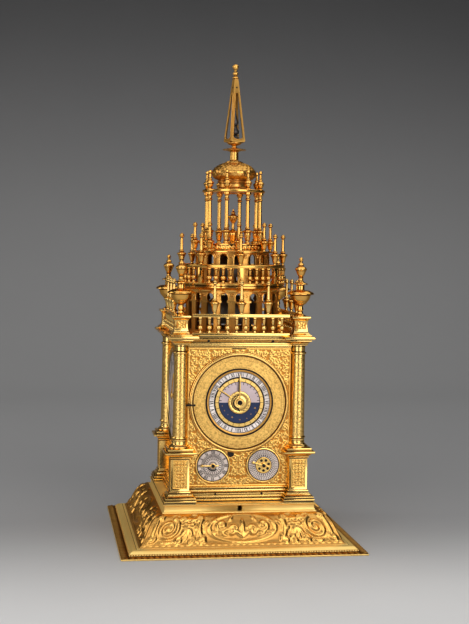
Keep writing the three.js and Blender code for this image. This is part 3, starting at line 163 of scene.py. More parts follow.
def course(curve, margin):
    """The run along a curve, its slope at each place, and a fade to nothing at both its ends."""
    run = np.concatenate([[0], np.cumsum(np.hypot(*np.diff(curve, axis=0).T))])
    slope = np.gradient(curve, axis=0)
    slope /= np.hypot(*slope.T)[:, None]
    return run, slope, np.minimum(1, np.minimum(run, run[-1] - run) / margin)


def swept(profile, ways, closed):
    """A profile of reach and height carried round a ring of ways, with painted shade in hollows."""
    profile, hollow_shade = with_hollow_shade(profile, closed)
    reach, height = profile.T
    grid = np.stack([
        np.outer(ways[:, 0], reach),
        np.outer(ways[:, 1], reach),
        np.broadcast_to(height, (len(ways), len(height))),
    ], -1)
    return (*sheet(grid, wrap_u=True, wrap_v=closed), np.tile(hollow_shade, (len(ways), 1)))


def turned(profile, sides, closed=False):
    """A shape turned on the upright axis from places of radius and height."""
    angles = np.linspace(0, 2 * np.pi, sides, endpoint=False)
    return swept(profile, np.column_stack([np.cos(angles), np.sin(angles)]), closed)


def mitred(profile, closed=False):
    """A square moulding with mitred corners from places of half-width and height."""
    return swept(profile, np.array([(1, -1), (1, 1), (-1, 1), (-1, -1)]), closed)


def disc(radius, bottom, top, sides=12):
    """A plain round disc."""
    return turned([(0, bottom), (radius, bottom), (radius, top), (0, top)], sides)


def with_hollow_shade(profile, closed=False, reach=0.5, sharp=0.4):
    """A profile with places added beside its hollow corners, and how much painted shade each gets.
    """
    profile = np.asarray(profile, float)
    count = len(profile)
    points, hollow_shade = [], []
    for k in range(count):
        here = profile[k]
        if not closed and k in (0, count - 1):
            points.append(here)
            hollow_shade.append(0.0)
            continue
        before, after = here - profile[k - 1], profile[(k + 1) % count] - here
        run_in, run_out = np.hypot(*before), np.hypot(*after)
        bend = (before[0] * after[1] - before[1] * after[0]) / max(run_in * run_out, 1e-9)
        if bend > -sharp:
            points.append(here)
            hollow_shade.append(0.0)
            continue
        dark = min(1.0, -1.15 * bend)
        for share, tone in ((-1.15, 0.0), (-1.0, dark), (0.0, dark), (1.0, dark), (1.15, 0.0)):
            way, run = (before, run_in) if share < 0 else (after, run_out)
            points.append(here + share * way * min(reach / run, 0.42))
            hollow_shade.append(tone)
    return np.array(points), np.array(hollow_shade)


def block(low_corner, high_corner):
    """A plain bar between two corners."""
    lo, hi = np.array(low_corner, float), np.array(high_corner, float)
    points = np.array([(x, y, z) for x in (lo[0], hi[0]) for y in (lo[1], hi[1])
                       for z in (lo[2], hi[2])])
    faces = [[0, 1, 3, 2], [4, 6, 7, 5], [0, 4, 5, 1], [2, 3, 7, 6], [0, 2, 6, 4], [1, 5, 7, 3]]
    return points, faces


def stroke(x0, y0, x1, y1, width, bottom, top):
    """A straight flat bar between two places of a dial, from one lift to another."""
    run = np.array((x1 - x0, y1 - y0), float)
    across = np.array((-run[1], run[0])) / np.hypot(*run) * width / 2
    a, b = np.array((x0, y0)), np.array((x1, y1))
    ring = [a - across, b - across, b + across, a + across]
    return prism(ring, bottom, top)


def prism(ring, bottom, top):
    """An upright prism on a flat outline that runs counterclockwise."""
    ring = np.asarray(ring, float)
    count = len(ring)
    points = np.vstack([
        np.column_stack([ring, np.full(count, bottom)]),
        np.column_stack([ring, np.full(count, top)]),
    ])
    faces = [list(range(count))[::-1], [count + k for k in range(count)]]
    faces += [[k, (k + 1) % count, count + (k + 1) % count, count + k] for k in range(count)]
    return points, faces


def plate(front, back):
    """A closed plate: a front grid of places, its edges carried back, and a flat back."""
    rows, columns = front.shape[:2]
    points, quads = sheet(front)
    index = np.arange(rows * columns).reshape(rows, columns)
    ring = np.concatenate([index[:-1, 0], index[-1, :-1], index[:0:-1, -1], index[0, :0:-1]])
    count, first = len(ring), len(points)
    rear = points[ring] + np.asarray(back, float)
    faces = quads.tolist()
    for k in range(count):
        following = (k + 1) % count
        faces.append([ring[k], first + k, first + following, ring[following]])
    faces.append([first + k for k in range(count)][::-1])
    return np.vstack([points, rear]), faces


def tube(path, radius, sides):
    """A round bar along a path, with its ends closed."""
    path = np.asarray(path, float)
    path = path[np.r_[True, np.linalg.norm(np.diff(path, axis=0), axis=1) > 1e-4]]
    ahead = np.gradient(path, axis=0)
    ahead /= np.linalg.norm(ahead, axis=1)[:, None]
    up = np.eye(3)[np.argmin(np.abs(ahead[0]))]
    rings = []
    for place, way in zip(path, ahead):
        side = np.cross(way, up)
        side /= np.linalg.norm(side)
        up = np.cross(side, way)
        turn = np.linspace(0, 2 * np.pi, sides, endpoint=False)[:, None]
        rings.append(place + radius * (np.cos(turn) * side + np.sin(turn) * up))
    points, quads = sheet(np.array(rings), wrap_v=True)
    last = len(points) - sides
    faces = quads.tolist() + [list(range(sides)), [last + k for k in range(sides)][::-1]]
    return points, faces


def outward(part):
    """A closed part with its faces turned outwards."""
    points, faces = part[0], [list(face) for face in part[1]]
    volume = 0.0
    for face in faces:
        first = points[face[0]]
        for second, third in zip(face[1:], face[2:]):
            volume += np.dot(first, np.cross(points[second], points[third]))
    return points, faces if volume > 0 else [face[::-1] for face in faces]


def moved(part, matrix):
    """A part carried by a matrix whose lengths are millimetres."""
    array = np.array(matrix)
    points = part[0] @ array[:3, :3].T + array[:3, 3]
    return (points, *part[1:])


def shifted(part, x=0.0, y=0.0, z=0.0):
    """A part carried along by a vector."""
    return (part[0] + np.array((x, y, z), float), *part[1:])


def about_z(degrees):
    """A turn about the upright axis."""
    return Matrix.Rotation(math.radians(degrees), 4, "Z")


def spun(part, degrees):
    """A part turned about the upright axis."""
    return moved(part, about_z(degrees))


def four_sides(*parts):
    """Parts that face the front, repeated on the four sides."""
    return [spun(part, turn) for part in parts for turn in SIDES.values()]


def facing_front(x, y, z):
    """A place whose own Z points out to the front."""
    return Matrix.Translation((x, y, z)) @ Matrix.Rotation(math.pi / 2, 4, "X")


def on_face(side, across, up):
    """The place of a dial on one side of the case: its own X to the right, Y up, Z outwards."""
    return about_z(SIDES[side]) @ facing_front(across, -FACE, up)


def settle(obj):
    """Turn an object's modifiers into a plain mesh."""
    graph = bpy.context.evaluated_depsgraph_get()
    mesh = bpy.data.meshes.new_from_object(obj.evaluated_get(graph), preserve_all_data_layers=True,
                                           depsgraph=graph)
    obj.modifiers.clear()
    spent, obj.data = obj.data, mesh
    bpy.data.meshes.remove(spent)
    return obj


def build(name, parts, material=None, crease=38.0, weld=True, bevel=0.0):
    """A mesh object from parts in millimetres; a part's third item gives engraving and painted
    shade.
    """
    points, faces, cut_and_shade_lists, count = [], [], [], 0
    for where, rings, *cut in parts:
        points.append(where)
        if isinstance(rings, np.ndarray):
            faces.extend((rings + count).tolist())
        else:
            faces.extend([int(k) + count for k in ring] for ring in rings)
        cut_and_shade_lists.append(np.ravel(cut[0]) if cut else np.zeros(len(where)))
        count += len(where)
    mesh = bpy.data.meshes.new(name)
    mesh.from_pydata(np.vstack(points) * MM, [], faces)
    depth = mesh.attributes.new("cut", "FLOAT", "POINT")
    depth.data.foreach_set("value", np.concatenate(cut_and_shade_lists).astype(np.float32))
    if weld:
        work = bmesh.new()
        work.from_mesh(mesh)
        work.verts.ensure_lookup_table()
        ends = np.cumsum([0] + [len(where) for where in points]).tolist()
        for group in [work.verts[start:end] for start, end in zip(ends, ends[1:])]:
            bmesh.ops.remove_doubles(work, verts=group, dist=WELD)
        bmesh.ops.recalc_face_normals(work, faces=work.faces)
        work.to_mesh(mesh)
        work.free()
    obj = bpy.data.objects.new(name, mesh)
    bpy.context.scene.collection.objects.link(obj)
    if bevel:
        rounding = obj.modifiers.new("Rounded edges", "BEVEL")
        rounding.width = bevel * MM
        rounding.segments = 2
        rounding.limit_method = "ANGLE"
        rounding.angle_limit = math.radians(ROUNDED_ANGLE)
        settle(obj)
    obj.data.shade_smooth()
    obj.data.set_sharp_from_angle(angle=math.radians(crease))
    obj.data.materials.clear()
    if material:
        obj.data.materials.append(bpy.data.materials[material])
    return obj


def show(obj, slot, *nodes, body="case"):
    """Hand a finished piece to the frame: its body and the CAD nodes it stands for; the slot is not
    used.
    """
    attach(obj, body)
    if nodes:
        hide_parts(*nodes)


def dress(name, parts, material, *nodes, at=None, body="case", **shape):
    """Build a piece, carried to a place if one is given, and hand it to the frame."""
    if at is not None:
        parts = [moved(part, at) for part in parts]
    show(build(name, parts, material, **shape), SLOTS.get(material, "gilt"), *nodes, body=body)


# Node trees

def fill(tree, node, inputs):
    """Link or set the inputs of a node."""
    for key, value in inputs.items():
        if isinstance(value, bpy.types.NodeSocket):
            tree.links.new(value, node.inputs[key])
        else:
            node.inputs[key].default_value = value


def add_node(tree, kind, inputs=None, **settings):
    """A node with its settings and inputs."""
    node = tree.nodes.new(kind)
    for key, value in settings.items():
        setattr(node, key, value)
    fill(tree, node, inputs or {})
    return node


def wired(tree, kind, inputs=None, socket=0, **settings):
    """One output of a new node."""
    return add_node(tree, kind, inputs, **settings).outputs[socket]


def reckoned(tree, operation, *values, **settings):
    """The result of a sum in a node tree."""
    return wired(tree, "ShaderNodeMath", dict(enumerate(values)), operation=operation, **settings)


def blended(tree, share, first, second):
    """A colour between two colours in a node tree."""
    inputs = {0: share, 6: first, 7: second}
    return wired(tree, "ShaderNodeMix", inputs, socket=2, data_type="RGBA")


def turn_about_z(tree, angle):
    """A rotation about Z in a node tree."""
    way = wired(tree, "ShaderNodeCombineXYZ", {"Z": angle})
    return wired(tree, "FunctionNodeEulerToRotation", {0: way})


def new_tree(name, kind, inputs, outputs):
    """A node tree with named sockets, and the sockets of its two end nodes."""
    tree = bpy.data.node_groups.new(name, kind)
    for way, sockets in (("INPUT", inputs), ("OUTPUT", outputs)):
        for label, sort in sockets.items():
            tree.interface.new_socket(label, in_out=way, socket_type=f"NodeSocket{sort}")
    given, end = tree.nodes.new("NodeGroupInput"), tree.nodes.new("NodeGroupOutput")
    return tree, given.outputs, end.inputs


def repeat_tree(name, **inputs):
    """A geometry tree that takes and gives a piece."""
    piece = {"Geometry": "Geometry"}
    return new_tree(name, "GeometryNodeTree", piece | inputs, piece)


def make_ring_tree():
    """Copies of a piece round the upright axis, the first one at the front."""
    tree, given, end = repeat_tree(RING, Count="Int", Radius="Float", First="Float")
    ring = wired(tree, "GeometryNodeMeshCircle", {
        "Vertices": given["Count"], "Radius": given["Radius"]})
    pitch = reckoned(tree, "DIVIDE", 2 * math.pi, given["Count"])
    index = wired(tree, "GeometryNodeInputIndex")
    angle = reckoned(tree, "MULTIPLY_ADD", index, pitch, math.pi / 2)
    copies = wired(tree, "GeometryNodeInstanceOnPoints", {
        "Points": ring, "Instance": given["Geometry"], "Rotation": turn_about_z(tree, angle)})
    start = reckoned(tree, "SUBTRACT", given["First"], math.pi / 2)
    placed = wired(tree, "GeometryNodeTransform", {
        "Geometry": copies, "Rotation": turn_about_z(tree, start)})
    tree.links.new(wired(tree, "GeometryNodeRealizeInstances", {"Geometry": placed}), end[0])


def make_line_tree():
    """Copies of a piece along a straight line."""
    tree, given, end = repeat_tree(LINE, Count="Int", Start="Vector", Pitch="Vector")
    line = wired(tree, "GeometryNodeMeshLine", {
        "Count": given["Count"], "Start Location": given["Start"], "Offset": given["Pitch"],
    }, mode="OFFSET")
    copies = wired(tree, "GeometryNodeInstanceOnPoints", {
        "Points": line, "Instance": given["Geometry"]})
    tree.links.new(wired(tree, "GeometryNodeRealizeInstances", {"Geometry": copies}), end[0])


def read(items, name, width=1, kind=np.float32):
    """One value of every item of a mesh."""
    values = np.empty(len(items) * width, kind)
    items.foreach_get(name, values)
    return values


def repeated(tree_name, parts, **values):
    """The points, faces, engraving and painted shade of parts repeated by a geometry tree, in
    millimetres.
    """
    tree = bpy.data.node_groups[tree_name]
    obj = build("repeat", parts)
    modifier = obj.modifiers.new("Repeat", "NODES")
    modifier.node_group = tree
    for item in tree.interface.items_tree:
        if item.in_out == "INPUT" and item.name in values:
            modifier[item.identifier] = values[item.name]
    mesh = settle(obj).data
    points = read(mesh.vertices, "co", 3).reshape(-1, 3).astype(float) / MM
    cut = read(mesh.attributes["cut"].data, "value")
    corners = read(mesh.loops, "vertex_index", kind=np.int32)
    starts = read(mesh.polygons, "loop_start", kind=np.int32)
    faces = [ring.tolist() for ring in np.split(corners, starts[1:])]
    bpy.data.objects.remove(obj)
    bpy.data.meshes.remove(mesh)
    return points, faces, cut


def ring_of(parts, count, radius=0.0, first=0.0):
    """Parts that face the front, repeated round the upright axis from an angle in degrees."""
    return repeated(RING, parts, Count=count, Radius=radius * MM, First=math.radians(first))


def row_of(parts, count, start, pitch):
    """Parts repeated along a line from a start by a pitch."""
    start, pitch = (tuple(part * MM for part in way) for way in (start, pitch))
    return repeated(LINE, parts, Count=count, Start=start, Pitch=pitch)


# Ornament, kept as round dabs of place, radius and height

def leaf(x, y, heading, bend, length, width, height):
    """A leaf that curves as it grows."""
    steps = max(int(length / DAB_STEP), 2)
    dabs = []
    for k in range(steps + 1):
        share = k / steps
        size = width * math.sin(math.pi * (0.1 + 0.88 * share)) ** 0.75
        dabs.append((x, y, size, height * (0.75 + 0.25 * share)))
        heading += bend * DAB_STEP
        x += DAB_STEP * math.cos(heading)
        y += DAB_STEP * math.sin(heading)
    return dabs


def volute(x, y, heading, handed, size, width, height, leaves=6, turns=1.35):
    """A stem curling in about a middle to its berry, with leaves along its outer side."""
    x += handed * size * math.sin(heading)
    y -= handed * size * math.cos(heading)
    dabs, angle, whole = [], 0.0, 2 * math.pi * turns
    due = whole / (leaves + 1)
    while angle < whole:
        share = angle / whole
        radius = size * (1 - 0.75 * share)
        dabs.append((x, y, width * (1 - 0.35 * share), height))
        if angle > due and share < 0.75:
            due += whole / (leaves + 1)
            grown = size * (0.95 - 0.6 * share)
            dabs += leaf(x, y, heading - handed * 0.75, handed * 0.9 / size, grown, width * 1.25,
                         height * 0.9)
        step = DAB_STEP / radius
        heading += handed * step
        x += DAB_STEP * math.cos(heading)
        y += DAB_STEP * math.sin(heading)
        angle += step
    dabs.append((x, y, width * 1.9, height * 1.1))
    return dabs


def mirrored(dabs):
    """Dabs reflected across the middle line."""
    return [(-x, y, radius, height) for x, y, radius, height in dabs]


def line_of(x0, y0, x1, y1, radius, height):
    """A straight raised bead."""
    steps = max(int(math.hypot(x1 - x0, y1 - y0) / (0.6 * radius)), 1)
    shares = (k / steps for k in range(steps + 1))
    return [(x0 + (x1 - x0) * s, y0 + (y1 - y0) * s, radius, height) for s in shares]


def border(half, foot, top, radius, height):
    """A raised bead round an upright oblong."""
    dabs = []
    for x in (-half, half):
        dabs += line_of(x, foot, x, top, radius, height)
    for y in (foot, top):
        dabs += line_of(-half, y, half, y, radius, height)
    return dabs


def oval_of(x, y, across, up, radius, height):
    """A raised bead round an oval."""
    count = int(2 * math.pi * max(across, up) / (0.6 * radius))
    turns = np.linspace(0, 2 * np.pi, count, endpoint=False)
    return [(x + across * math.cos(t), y + up * math.sin(t), radius, height) for t in turns]


def moresque(width, height, pitch, line, rise, seed, foot=0.0):
    """A mirrored field of curling stems that meet one another, over a width and from a foot up."""
    chance = np.random.default_rng(seed)
    rows, columns = max(round(height / pitch), 1), max(round(width / 2 / pitch), 1)
    dabs = []
    for row in range(rows):
        for column in range(columns):
            x = (column + 0.5) * width / 2 / columns + chance.uniform(-0.08, 0.08) * pitch
            y = foot + (row + 0.5) * height / rows + chance.uniform(-0.08, 0.08) * pitch
            handed = 1 if (row + column) % 2 else -1
            quarter = chance.choice((0.25, 0.75, 1.25, 1.75))
            heading = quarter * math.pi + chance.uniform(-0.4, 0.4)
            size = pitch * chance.uniform(0.44, 0.52)
            scroll = volute(x, y, heading, handed, size, line, rise)
            dabs += scroll + mirrored(scroll)
    return dabs


def run_of(profile, reach, foot):
    """A straight moulding along the front from places of depth and height, as long as a reach."""
    # Painted shade goes into the moulding's hollow corners.
    profile, hollow_shade = with_hollow_shade(profile)
    ends = [[(side * reach(up), -PANEL_BACK - out, foot + up) for out, up in profile]
            for side in (-1, 1)]
    points, quads = sheet(np.array(ends), wrap_v=True)
    count = len(profile)
    faces = quads.tolist() + [list(range(count))[::-1], [count + k for k in range(count)]]
    return points, faces, np.tile(hollow_shade, 2)


def stamp(dabs, across, up):
    """Heights of dabs over the places of a grid."""
    field = np.zeros((len(across), len(up)))
    for x, y, radius, height in dabs:
        i = np.searchsorted(across, (x - radius, x + radius))
        j = np.searchsorted(up, (y - radius, y + radius))
        if i[0] == i[1] or j[0] == j[1]:
            continue
        apart = (across[i[0]:i[1], None] - x) ** 2 + (up[None, j[0]:j[1]] - y) ** 2
        dome = height * np.sqrt(np.clip(1 - apart / radius ** 2, 0, None))
        window = field[i[0]:i[1], j[0]:j[1]]
        np.maximum(window, dome, out=window)
    return field


def engraved(width, height, spacing, dabs, rise):
    """A flat engraved plate, standing on its lower edge and facing the front."""
    across = np.linspace(-width / 2, width / 2, max(int(width / spacing), 2))
    up = np.linspace(0, height, max(int(height / spacing), 2))
    field = stamp(dabs, across, up)
    field[[0, -1], :] = 0
    field[:, [0, -1]] = 0
    grid = surface(across[:, None], -field, up[None, :])
    thick = 0.3
    points, faces = plate(grid, (0, thick, 0))
    cut = np.zeros(len(points))
    cut[:field.size] = np.ravel(1 - np.clip(field / (0.75 * rise), 0, 1))
    points[field.size:, 1] = thick
    return points, faces, cut


# Finishes

def make_worn_metal():
    """Shared effect: cloudy tone, fine grain, darkened engraving and painted shade in hollows of a
    worn metal.
    """
    inputs = dict.fromkeys(("Bright", "Deep", "Ground"), "Color")
    inputs |= dict.fromkeys(("Cut", "Gloss", "Wear"), "Float")
    outputs = {"Colour": "Color", "Roughness": "Float", "Height": "Float"}
    tree, given, end = new_tree("Worn metal", "ShaderNodeTree", inputs, outputs)
    place = wired(tree, "ShaderNodeTexCoord", socket="Object")
    cloud, grain, speck = (wired(tree, "ShaderNodeTexNoise", {
        "Vector": place, "Scale": scale, "Detail": detail, "Roughness": rough,
    }) for scale, detail, rough in ((55.0, 6.0, 0.6), (900.0, 3.0, 0.5), (260.0, 5.0, 0.7)))
    clouded, specked = (wired(tree, "ShaderNodeMapRange", {
        "Value": noise, "From Min": begin, "From Max": full, "To Max": given["Wear"],
    }) for noise, begin, full in ((cloud, 0.38, 0.72), (speck, 0.58, 0.75)))
    aged = reckoned(tree, "MAXIMUM", clouded, specked)
    toned = blended(tree, aged, given["Bright"], given["Deep"])
    # The Cut input carries engraving and painted shade alike; both blend towards the ground colour.
    sunk = blended(tree, given["Cut"], toned, given["Ground"])
    grained = reckoned(tree, "MULTIPLY_ADD", grain, 0.16, -0.08)
    dulled = reckoned(tree, "MULTIPLY_ADD", aged, 0.16, grained)
    roughened = reckoned(tree, "MULTIPLY_ADD", given["Cut"], 0.14, dulled)
    tree.links.new(sunk, end["Colour"])
    tree.links.new(reckoned(tree, "ADD", roughened, given["Gloss"]), end["Roughness"])
    tree.links.new(reckoned(tree, "MULTIPLY_ADD", speck, 0.5, grain), end["Height"])


def new_material(name):
    """A new material, its node tree and its shader."""
    material = bpy.data.materials.new(name)
    material.use_nodes = True
    return material, material.node_tree, material.node_tree.nodes["Principled BSDF"]


def make_metal(name, bright, deep, ground, gloss, wear, bump=6e-6, metallic=1.0, sheen=0.5):
    """A metal finish on the shared worn-metal effect."""
    material, tree, shader = new_material(name)
    effect = add_node(tree, "ShaderNodeGroup", node_tree=bpy.data.node_groups["Worn metal"])
    fill(tree, effect, {
        "Bright": (*bright, 1), "Deep": (*deep, 1), "Ground": (*ground, 1), "Gloss": gloss,
        "Wear": wear, "Cut": wired(tree, "ShaderNodeAttribute", socket="Fac", attribute_name="cut"),
    })
    relief = wired(tree, "ShaderNodeBump", {
        "Height": effect.outputs["Height"], "Strength": 0.6, "Distance": bump})
    fill(tree, shader, {
        "Base Color": effect.outputs["Colour"], "Roughness": effect.outputs["Roughness"],
        "Normal": relief, "Metallic": metallic, "Specular IOR Level": sheen,
    })
    if metallic:
        tint = (0.35 + 0.65 * part / max(bright) for part in bright)
        shader.inputs["Specular Tint"].default_value = (*tint, 1)
    material.diffuse_color = (*bright, 1)


def make_paper(name, floor, shade, wall, dusk):
    """The studio paper: pale in front, a painted shadow behind the clock, and painted shade up the
    wall.
    """
    _, tree, shader = new_material(name)
    place = wired(tree, "ShaderNodeTexCoord", socket="Object")
    split = add_node(tree, "ShaderNodeSeparateXYZ", {0: place})
    mottle = wired(tree, "ShaderNodeTexNoise", {"Vector": place, "Scale": 9.0, "Detail": 4.0})
    colour = (*floor, 1)
    # Steps from the floor's tone: a painted shadow behind the clock, the wall's grey, painted shade
    # near the top.
    for axis, begin, end, tone in (
        ("Y", -0.26, 0.07, shade), ("Y", 0.1, 1.2, wall), ("Z", 0.0, 0.95, dusk),
    ):
        share = wired(tree, "ShaderNodeMapRange", {
            "Value": split.outputs[axis], "From Min": begin, "From Max": end,
        }, interpolation_type="SMOOTHSTEP")
        spread = reckoned(tree, "MULTIPLY_ADD", mottle, 0.04, share, use_clamp=True)
        colour = blended(tree, spread, colour, (*tone, 1))
    fibre = wired(tree, "ShaderNodeTexNoise", {"Vector": place, "Scale": 700.0})
    tooth = wired(tree, "ShaderNodeBump", {"Height": fibre, "Strength": 0.2, "Distance": 0.0001})
    fill(tree, shader, {"Base Color": colour, "Normal": tooth, "Roughness": 0.85})


def colour(label, text, value):
    """A setting that holds a colour."""
    return FloatVectorProperty(name=label, description=text, subtype="COLOR", size=3, min=0, max=1,
                               default=value)


def length(label, text, value, most=0.001):
    """A setting that holds a length in metres."""
    return FloatProperty(name=label, description=text, unit="LENGTH", default=value, min=0,
                         max=most)


def power(label, text, value):
    """A setting that holds the power of a light."""
    return FloatProperty(name=label, description=text, unit="POWER", default=value, min=0)


class ClockColours(PropertyGroup):
    """Colours of the clock's finishes"""

    gilt: colour("Gilt", "Bright fire gilding", (0.93, 0.61, 0.19))
    worn_gilt: colour("Worn gilt", "Gilding where it has thinned", (0.76, 0.4, 0.085))
    ground: colour("Engraved ground", "Cut and dirty ground of the engraving", (0.52, 0.21, 0.035))
    silver: colour("Silvering", "Silvered chapter ring and side dial", (0.9, 0.82, 0.78))
    day_sky: colour("Day half", "Lilac silvering of the day half", (0.6, 0.49, 0.5))
    enamel: colour("Night enamel", "Blue enamel of the night half", (0.016, 0.03, 0.09))
    floor: colour("Floor", "Pale studio floor", (0.64, 0.64, 0.64))
    wall: colour("Wall", "Grey studio wall", (0.31, 0.31, 0.312))


class ClockSizes(PropertyGroup):
    """Sizes of the clock's ornament"""

    relief: length("Chasing relief", "Height of the scrolls on the skirt", 0.0018, 0.004)
    engraving: length("Engraving depth", "Depth of the engraved ground", 0.00022)
    edge: length("Edge rounding", "Rounding of the mouldings' arrises", 0.00018)
    scale: length("Dome scales", "Height of the scales on the dome", 0.00045)


class ClockStudio(PropertyGroup):
    """Strength of the studio lights"""

    left: power("Left light", "Broad soft light left of the camera", 9.2)
    right: power("Right light", "Broad soft light right of the camera", 10.6)
    side: power("Side light", "Weak light from the far left", 5.0)
    front: power("Front light", "Soft light above the camera", 3.4)
    top: power("Top light", "Soft light overhead", 18.0)
    world: FloatProperty(name="Room light", description="Even light of the room", default=0.04,
                         min=0, max=2)


class CLOCK_OT_finishes(Operator):
    """Make the repeat trees and the finishes of the clock"""

    bl_idname = "clock.finishes"
    bl_label = "Finishes"

    def execute(self, context):
        chosen = context.scene.clock_colours
        gilt, worn, ground, silver, day_sky, enamel, floor, wall = (
            tuple(getattr(chosen, name)) for name in chosen.__annotations__)
        # Colours of the painted shade laid into the hollows of mouldings.
        hollow_shade, warm_hollow_shade = (0.05, 0.02, 0.006), (0.05, 0.018, 0.005)
        fine, middling, rough = 1e-5, 2e-5, 3e-5
        make_ring_tree()
        make_line_tree()
        make_worn_metal()
        for name, bright, deep, cut, gloss, wear, *bump in (
            ("bright_gilt", gilt, worn, hollow_shade, 0.17, 0.22),
            # A darker, more orange copy of the gilt for the upper storeys: painted shade.
            ("warm_gilt", (0.86, 0.47, 0.11), (0.62, 0.3, 0.06), warm_hollow_shade, 0.17, 0.3),
            ("soft_gilt", gilt, worn, hollow_shade, 0.26, 0.25),
            # A lighter copy of the gilt for the flange band and plinth: painted light.
            ("plain_gilt", (1.0, 0.72, 0.25), (0.92, 0.58, 0.17), hollow_shade, 0.5, 0.3),
            ("satin_gilt", (0.84, 0.46, 0.11), (0.5, 0.23, 0.045), warm_hollow_shade, 0.31, 0.6),
            ("engraved_gilt", (0.95, 0.6, 0.16), worn, ground, 0.22, 0.35, fine),
            ("column_gilt", gilt, worn, (0.6, 0.3, 0.06), 0.16, 0.25),
            ("leaf_gilt", (0.55, 0.29, 0.07), (0.36, 0.16, 0.035), hollow_shade, 0.3, 0.7),
            # A dark brown: painted shade for shadow rings and for the gaps of the leaf border.
            ("dark_bed", (0.16, 0.07, 0.018), (0.1, 0.04, 0.01), hollow_shade, 0.4, 0.6),
            ("dull_silvering", (0.86, 0.74, 0.67), (0.42, 0.35, 0.31), (0.1, 0.09, 0.08), 0.42,
             0.9),
            ("chased_gilt", (0.7, 0.38, 0.092), (0.6, 0.29, 0.06), (0.3, 0.12, 0.022), 0.26, 0.45,
             fine),
            ("shaded_gilt", (0.62, 0.32, 0.075), (0.5, 0.23, 0.045), (0.14, 0.055, 0.012), 0.3,
             0.6),
            ("aged_gilt", (0.62, 0.33, 0.08), (0.42, 0.2, 0.045), (0.2, 0.09, 0.02), 0.32, 0.7,
             middling),
            ("matted_gilt", (0.92, 0.58, 0.16), (0.7, 0.42, 0.11), (0.4, 0.2, 0.05), 0.36, 0.5,
             rough),
            ("silvering", silver, (0.5, 0.44, 0.41), (0.16, 0.14, 0.13), 0.42, 0.8, middling),
            ("day_silvering", day_sky, (0.46, 0.36, 0.38), (0.2, 0.15, 0.16), 0.4, 0.6),
            # Bell bronze darkened far below its own colour: painted shade inside the drums.
            ("bell_bronze", (0.13, 0.115, 0.1), (0.09, 0.075, 0.06), (0.05, 0.04, 0.03), 0.4, 0.7),
            ("filed_brass", (0.72, 0.5, 0.2), (0.5, 0.33, 0.12), (0.3, 0.2, 0.08), 0.36, 0.6,
             middling),
            ("dark_steel", (0.09, 0.085, 0.085), (0.06, 0.05, 0.045), (0.03, 0.025, 0.02), 0.4, 0.7,
             middling),
        ):
            make_metal(name, bright, deep, cut, gloss, wear, *bump)
        make_metal("blue_enamel", enamel, (0.01, 0.018, 0.055), (0.01, 0.015, 0.05), 0.3, 0.7,
                   metallic=0.0, sheen=0.25)
        # Black wax fills the engraving and numerals; the same black is painted shade in holes,
        # slots, piercings and shadow lines.
        make_metal("black_wax", (0.012, 0.01, 0.01), (0.03, 0.024, 0.02), (0.01, 0.01, 0.01), 0.5,
                   0.6, metallic=0.0, sheen=0.08)
        # The paper's second and last colours are a painted shadow behind the clock and painted
        # shade high on the wall.
        make_paper("studio_paper", floor, (0.26, 0.26, 0.263), wall, (0.06, 0.06, 0.062))
        return {"FINISHED"}


class CLOCK_OT_stage(Operator):
    """Set the floor and wall, the lights and the camera"""

    bl_idname = "clock.stage"
    bl_label = "Stage"

    def execute(self, context):
        scene, studio = context.scene, context.scene.clock_studio
        scene.view_settings.view_transform = "Standard"
        bend = outline((-2600, 0), (900, 0), (1700, 800, 0.2), (1700, 3200), parts=14)
        grid = np.stack([np.insert(bend, 0, x, axis=1) for x in (3000, -3000)])
        build("studio_floor", [sheet(grid)], "studio_paper", crease=80, weld=False)
        middle = Vector((0, 0, 0.17))
        for name, place, size, power, tint in (
            ("left_light", (-0.9, -1.1, 0.62), (0.8, 1.3), studio.left, (1.0, 0.98, 0.96)),
            ("right_light", (0.56, -1.3, 0.62), (0.95, 1.3), studio.right, (1.0, 0.98, 0.96)),
            ("side_light", (-1.35, 0.35, 0.75), (0.7, 1.1), studio.side, (1.0, 0.96, 0.92)),
            ("front_light", (0.0, -1.55, 1.2), (1.5, 0.7), studio.front, (1.0, 0.99, 0.97)),
            ("top_light", (0.25, 0.12, 1.7), (1.8, 2.4), studio.top, (1.0, 1.0, 1.0)),
        ):
            lamp = bpy.data.lights.new(name, "AREA")
            lamp.shape = "RECTANGLE"
            lamp.size, lamp.size_y = size
            lamp.energy = power
            lamp.color = tint
            obj = bpy.data.objects.new(name, lamp)
            obj.location = place
            obj.rotation_euler = (middle - Vector(place)).to_track_quat("-Z", "Y").to_euler()
            scene.collection.objects.link(obj)
        world = bpy.data.worlds.new("studio_room")
        world.use_nodes = True
        room = world.node_tree.nodes["Background"].inputs
        room["Color"].default_value = (0.5, 0.5, 0.5, 1)
        room["Strength"].default_value = studio.world
        scene.world = world
        level = math.cos(CAMERA_PITCH)
        ahead = Vector((math.sin(CAMERA_YAW) * level, math.cos(CAMERA_YAW) * level,
                        math.sin(CAMERA_PITCH)))
        right = Vector((math.cos(CAMERA_YAW), -math.sin(CAMERA_YAW), 0))
        up = right.cross(ahead)
        tilt, lean = math.cos(CAMERA_ROLL), math.sin(CAMERA_ROLL)
        right, up = right * tilt + up * lean, up * tilt - right * lean
        lens = bpy.data.cameras.new("photo_camera")
        lens.sensor_width = 36
        lens.lens = lens.sensor_width * FOCAL_LENGTH / PHOTO_HEIGHT
        camera = bpy.data.objects.new("photo_camera", lens)
        facing = Matrix((right, up, -ahead)).transposed().to_4x4()
        camera.matrix_world = Matrix.Translation(Vector(CAMERA_PLACE) * MM) @ facing
        scene.collection.objects.link(camera)
        scene.camera = camera
        return {"FINISHED"}


